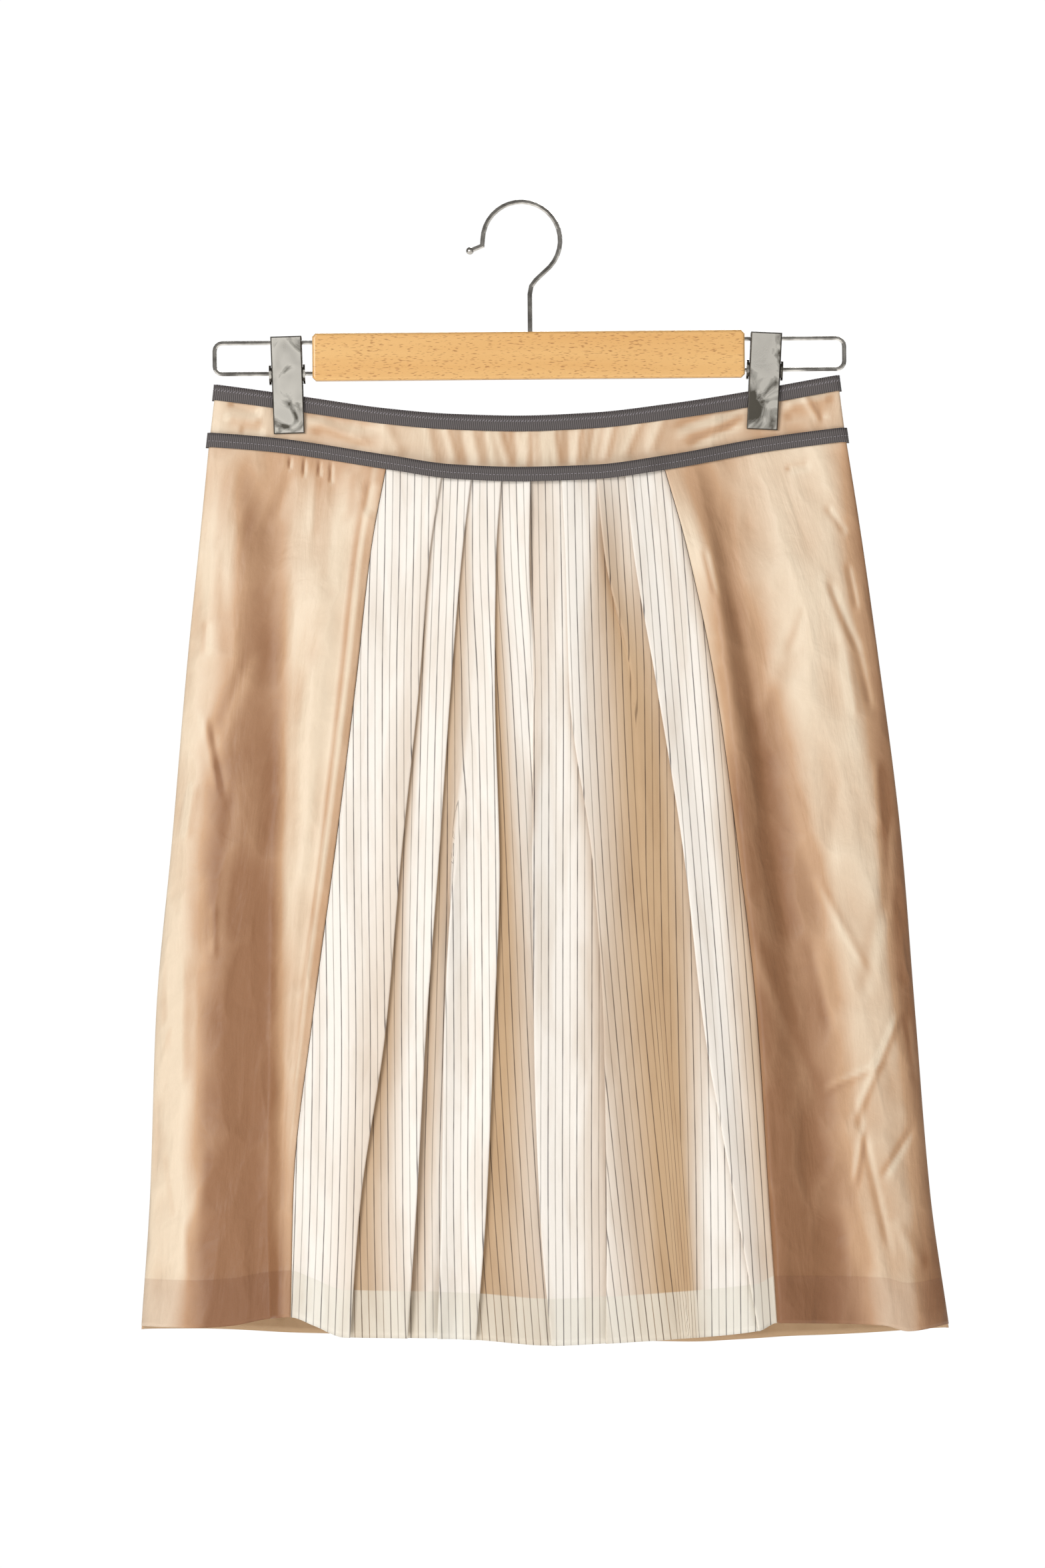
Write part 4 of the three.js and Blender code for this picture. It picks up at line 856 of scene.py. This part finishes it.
def strip(name, side, upper, lower, lift, levels, steps, material, creases=(), tone=None):
    """A band or ribbon across the front or back, between two heights, lifted off the cloth beneath."""
    facing = -1 if side == "front" else 1
    rows, outs, uvs, offs = [], [], [], []
    for part in np.linspace(0, 1, levels):
        drop = BACK_DROP if side == "back" else 0
        middle_z = upper(np.zeros(1)) * (1 - part) + lower(np.zeros(1)) * part - drop
        sag = float((middle_z[0] - waist_z(0)) / (panel_top_z(0) - waist_z(0)))
        left = WAIST_ENDS[0] + (LINES["side_left"][0] - WAIST_ENDS[0]) * sag + 0.6
        right = WAIST_ENDS[1] + (LINES["side_right"][0] - WAIST_ENDS[1]) * sag - 0.6
        xs = spread(left, right, left, right, steps)
        if side == "back":
            xs = xs[::-1]
        z = upper(xs) * (1 - part) + lower(xs) * part - drop
        offs.append(creased(xs, z, creases))
        y = facing * (np.maximum(0.15, reach(xs, z, 0, side, (left, right))) + offs[-1])
        xy = np.column_stack([xs, y])
        ends = [(-1, 0) if x < 0 else (1, 0) for x in (xs[0], xs[-1])]
        out = outward(xy, *ends)
        xy = xy + out * lift(xs)[:, None]
        rows.append(np.column_stack([xy, z]))
        outs.append(out)
        down = float(middle_z[0] - upper(np.zeros(1))[0])
        uvs.append(np.column_stack([run_length(xy), np.full(len(xs), down)]))
    rows, outs = np.array(rows), np.array(outs)
    marks = {}
    # Painted shade on the band: listed along it, and deeper where its creases turn from the light.
    if tone:
        plain = follow(tone["x"], tone["deep"], rows[:, :, 0])
        marks["deep"] = plain + slope_painted_shade(np.array(offs), rows[:, :, 0], rows[:, :, 2])
    return cloth(name, rows, outs, np.array(uvs), [STRIP_INNER] * levels, material, marks), rows, outs


# Painted shade along the waistband: x in mm and how deep, from 0 to 1.
BAND_PAINTED_SHADE = {"x": [-176, -150, -110, -60, 60, 100, 150, 180],
             "deep": [0.1, 0.25, 0.3, 0.2, 0.2, 0.35, 0.45, 0.3]}
for side in ("front", "back"):
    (strip(f"waistband_{side}_satin", side, lambda x: waist_z(x) - 0.6,
                        lambda x: panel_top_z(x) + 0.3, lambda x: np.zeros_like(x), 16, 300,
                        tan_satin, BAND_CREASES, BAND_PAINTED_SHADE)[0])
    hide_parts(f"waistband_{side}")

# The ribbons: dark grey grosgrain, 9 mm over the waist edge and 8 mm over the seam below. Its ribs cross
# the ribbon and are drawn 1.1 mm apart, coarser than life, so that they show, each with a painted highlight
# on its crest and painted shade between.
RIB = 1.1
grosgrain, tree, shader = new_material("grey_grosgrain_ribbon", {
    "Roughness": 0.6, "Sheen Weight": 0.15})
cut = node(tree, "UVMap", uv_map="cut")
parts = node(tree, "SeparateXYZ", {0: cut.outputs[0]})
phase = node(tree, "Math", {0: parts.outputs[0], 1: 2 * math.pi * 1000 / RIB}, operation="MULTIPLY")
ribs = node(tree, "Math", {0: phase.outputs[0]}, operation="SINE")
# Painted light and shade: each rib's crest is painted pale and its groove dark.
painted_rib_light = node(tree, "MapRange", {"Value": ribs.outputs[0], "From Min": -1.0, "From Max": 1.0})
colour = node(tree, "MixRGB", {"Fac": painted_rib_light.outputs[0], "Color1": linear("#272322"),
                               "Color2": linear("#68605F")})
raised = node(tree, "Bump", {"Height": painted_rib_light.outputs[0], "Strength": 0.5, "Distance": 0.0003})
tree.links.new(colour.outputs["Color"], shader.inputs["Base Color"])
tree.links.new(raised.outputs["Normal"], shader.inputs["Normal"])

thread, tree, shader = new_material("grey_polyester_thread", {
    "Base Color": linear("#9A949A"), "Roughness": 0.5})

# Rows of sewing on each ribbon: height of a stitch's two ends as parts of the ribbon's width, pitch, length
# and thickness in mm. The upper ribbon is edged by a slanting chain and tiny loops, the lower run through.
SEWING = {
    "ribbon_top": [(0.42, 0.26, 1.7, 1.1, 0.16), (0.03, 0.03, 1.5, 0.5, 0.2)],
    "ribbon_lower": [(0.56, 0.56, 2.0, 1.25, 0.15)],
}
RING = np.array([[0.0, 0.35, 0.1], [0.25, 1.0, 0.7], [0.75, 1.0, 0.7], [1.0, 0.35, 0.1]])


def on_strip(rows, outs, along, part):
    """The point at a distance along a strip and a part of its width, and the way out of it."""
    at = part * (len(rows) - 1)
    low = min(int(at), len(rows) - 2)
    found = []
    for level in (low, low + 1):
        lengths = run_length(rows[level][:, :2])
        here = along * lengths[-1]
        found.append([[np.interp(here, lengths, source[level][:, k]) for k in range(source.shape[2])]
                      for source in (rows, outs)])
    mixed = [np.array(a) + (np.array(b) - np.array(a)) * (at - low) for a, b in zip(*found)]
    return mixed[0], np.append(mixed[1], 0)


def sewn(name, rows, outs, from_part, to_part, pitch, length, radius):
    """A row of stitches on a strip: short tapered threads, each from one height on it to another."""
    total = run_length(rows[0][:, :2])[-1]
    count = int(total / pitch)
    points, faces = [], []
    for i in range(count):
        middle = (i + 0.5) / count
        ends = [on_strip(rows, outs, middle + sign * length / 2 / total, part)
                for sign, part in ((-1, from_part), (1, to_part))]
        (a, out), (b, unused) = ends
        side = np.cross(b - a, out)
        side /= np.linalg.norm(side)
        first = len(points)
        for t, thick, lift in RING:
            centre = a + (b - a) * t + out * (WALL / 2 + lift * radius)
            for turn in np.arange(6) * math.pi / 3:
                points.append(centre + radius * thick * (math.cos(turn) * side + math.sin(turn) * out))
        for ring in range(3):
            for k in range(6):
                low, high = first + ring * 6, first + ring * 6 + 6
                faces.append((low + k, low + (k + 1) % 6, high + (k + 1) % 6, high + k))
        faces.append(tuple(first + k for k in range(6))[::-1])
        faces.append(tuple(first + 18 + k for k in range(6)))
    mesh = bpy.data.meshes.new(name)
    mesh.from_pydata((np.array(points) * MM).tolist(), [], faces)
    return laid(name, mesh, thread)


RIBBONS = {
    "ribbon_top": (waist_z, TOP_RIBBON_WIDTH, lambda x, side: np.full_like(x, 1.3)),
    "ribbon_lower": (ribbon_z, LOW_RIBBON_WIDTH,
                     lambda x, side: 1.7 + (band_lift(x) if side == "front" else np.zeros_like(x))),
}
on_band = {"front": [], "back": []}
for kind, (edge_z, width, lift) in RIBBONS.items():
    for side in ("front", "back"):
        ribbon, rows, outs = strip(f"{kind}_{side}_grosgrain", side, edge_z, lambda x: edge_z(x) - width,
                                   lambda x: lift(x, side), 5, 240, grosgrain)
        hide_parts(f"{kind}_{side}")
        on_band[side].append(ribbon)
        for row, stitch in enumerate(SEWING[kind]):
            on_band[side].append(sewn(f"{kind}_{side}_stitches_{row}", rows, outs, *stitch))
for side, pieces in on_band.items():
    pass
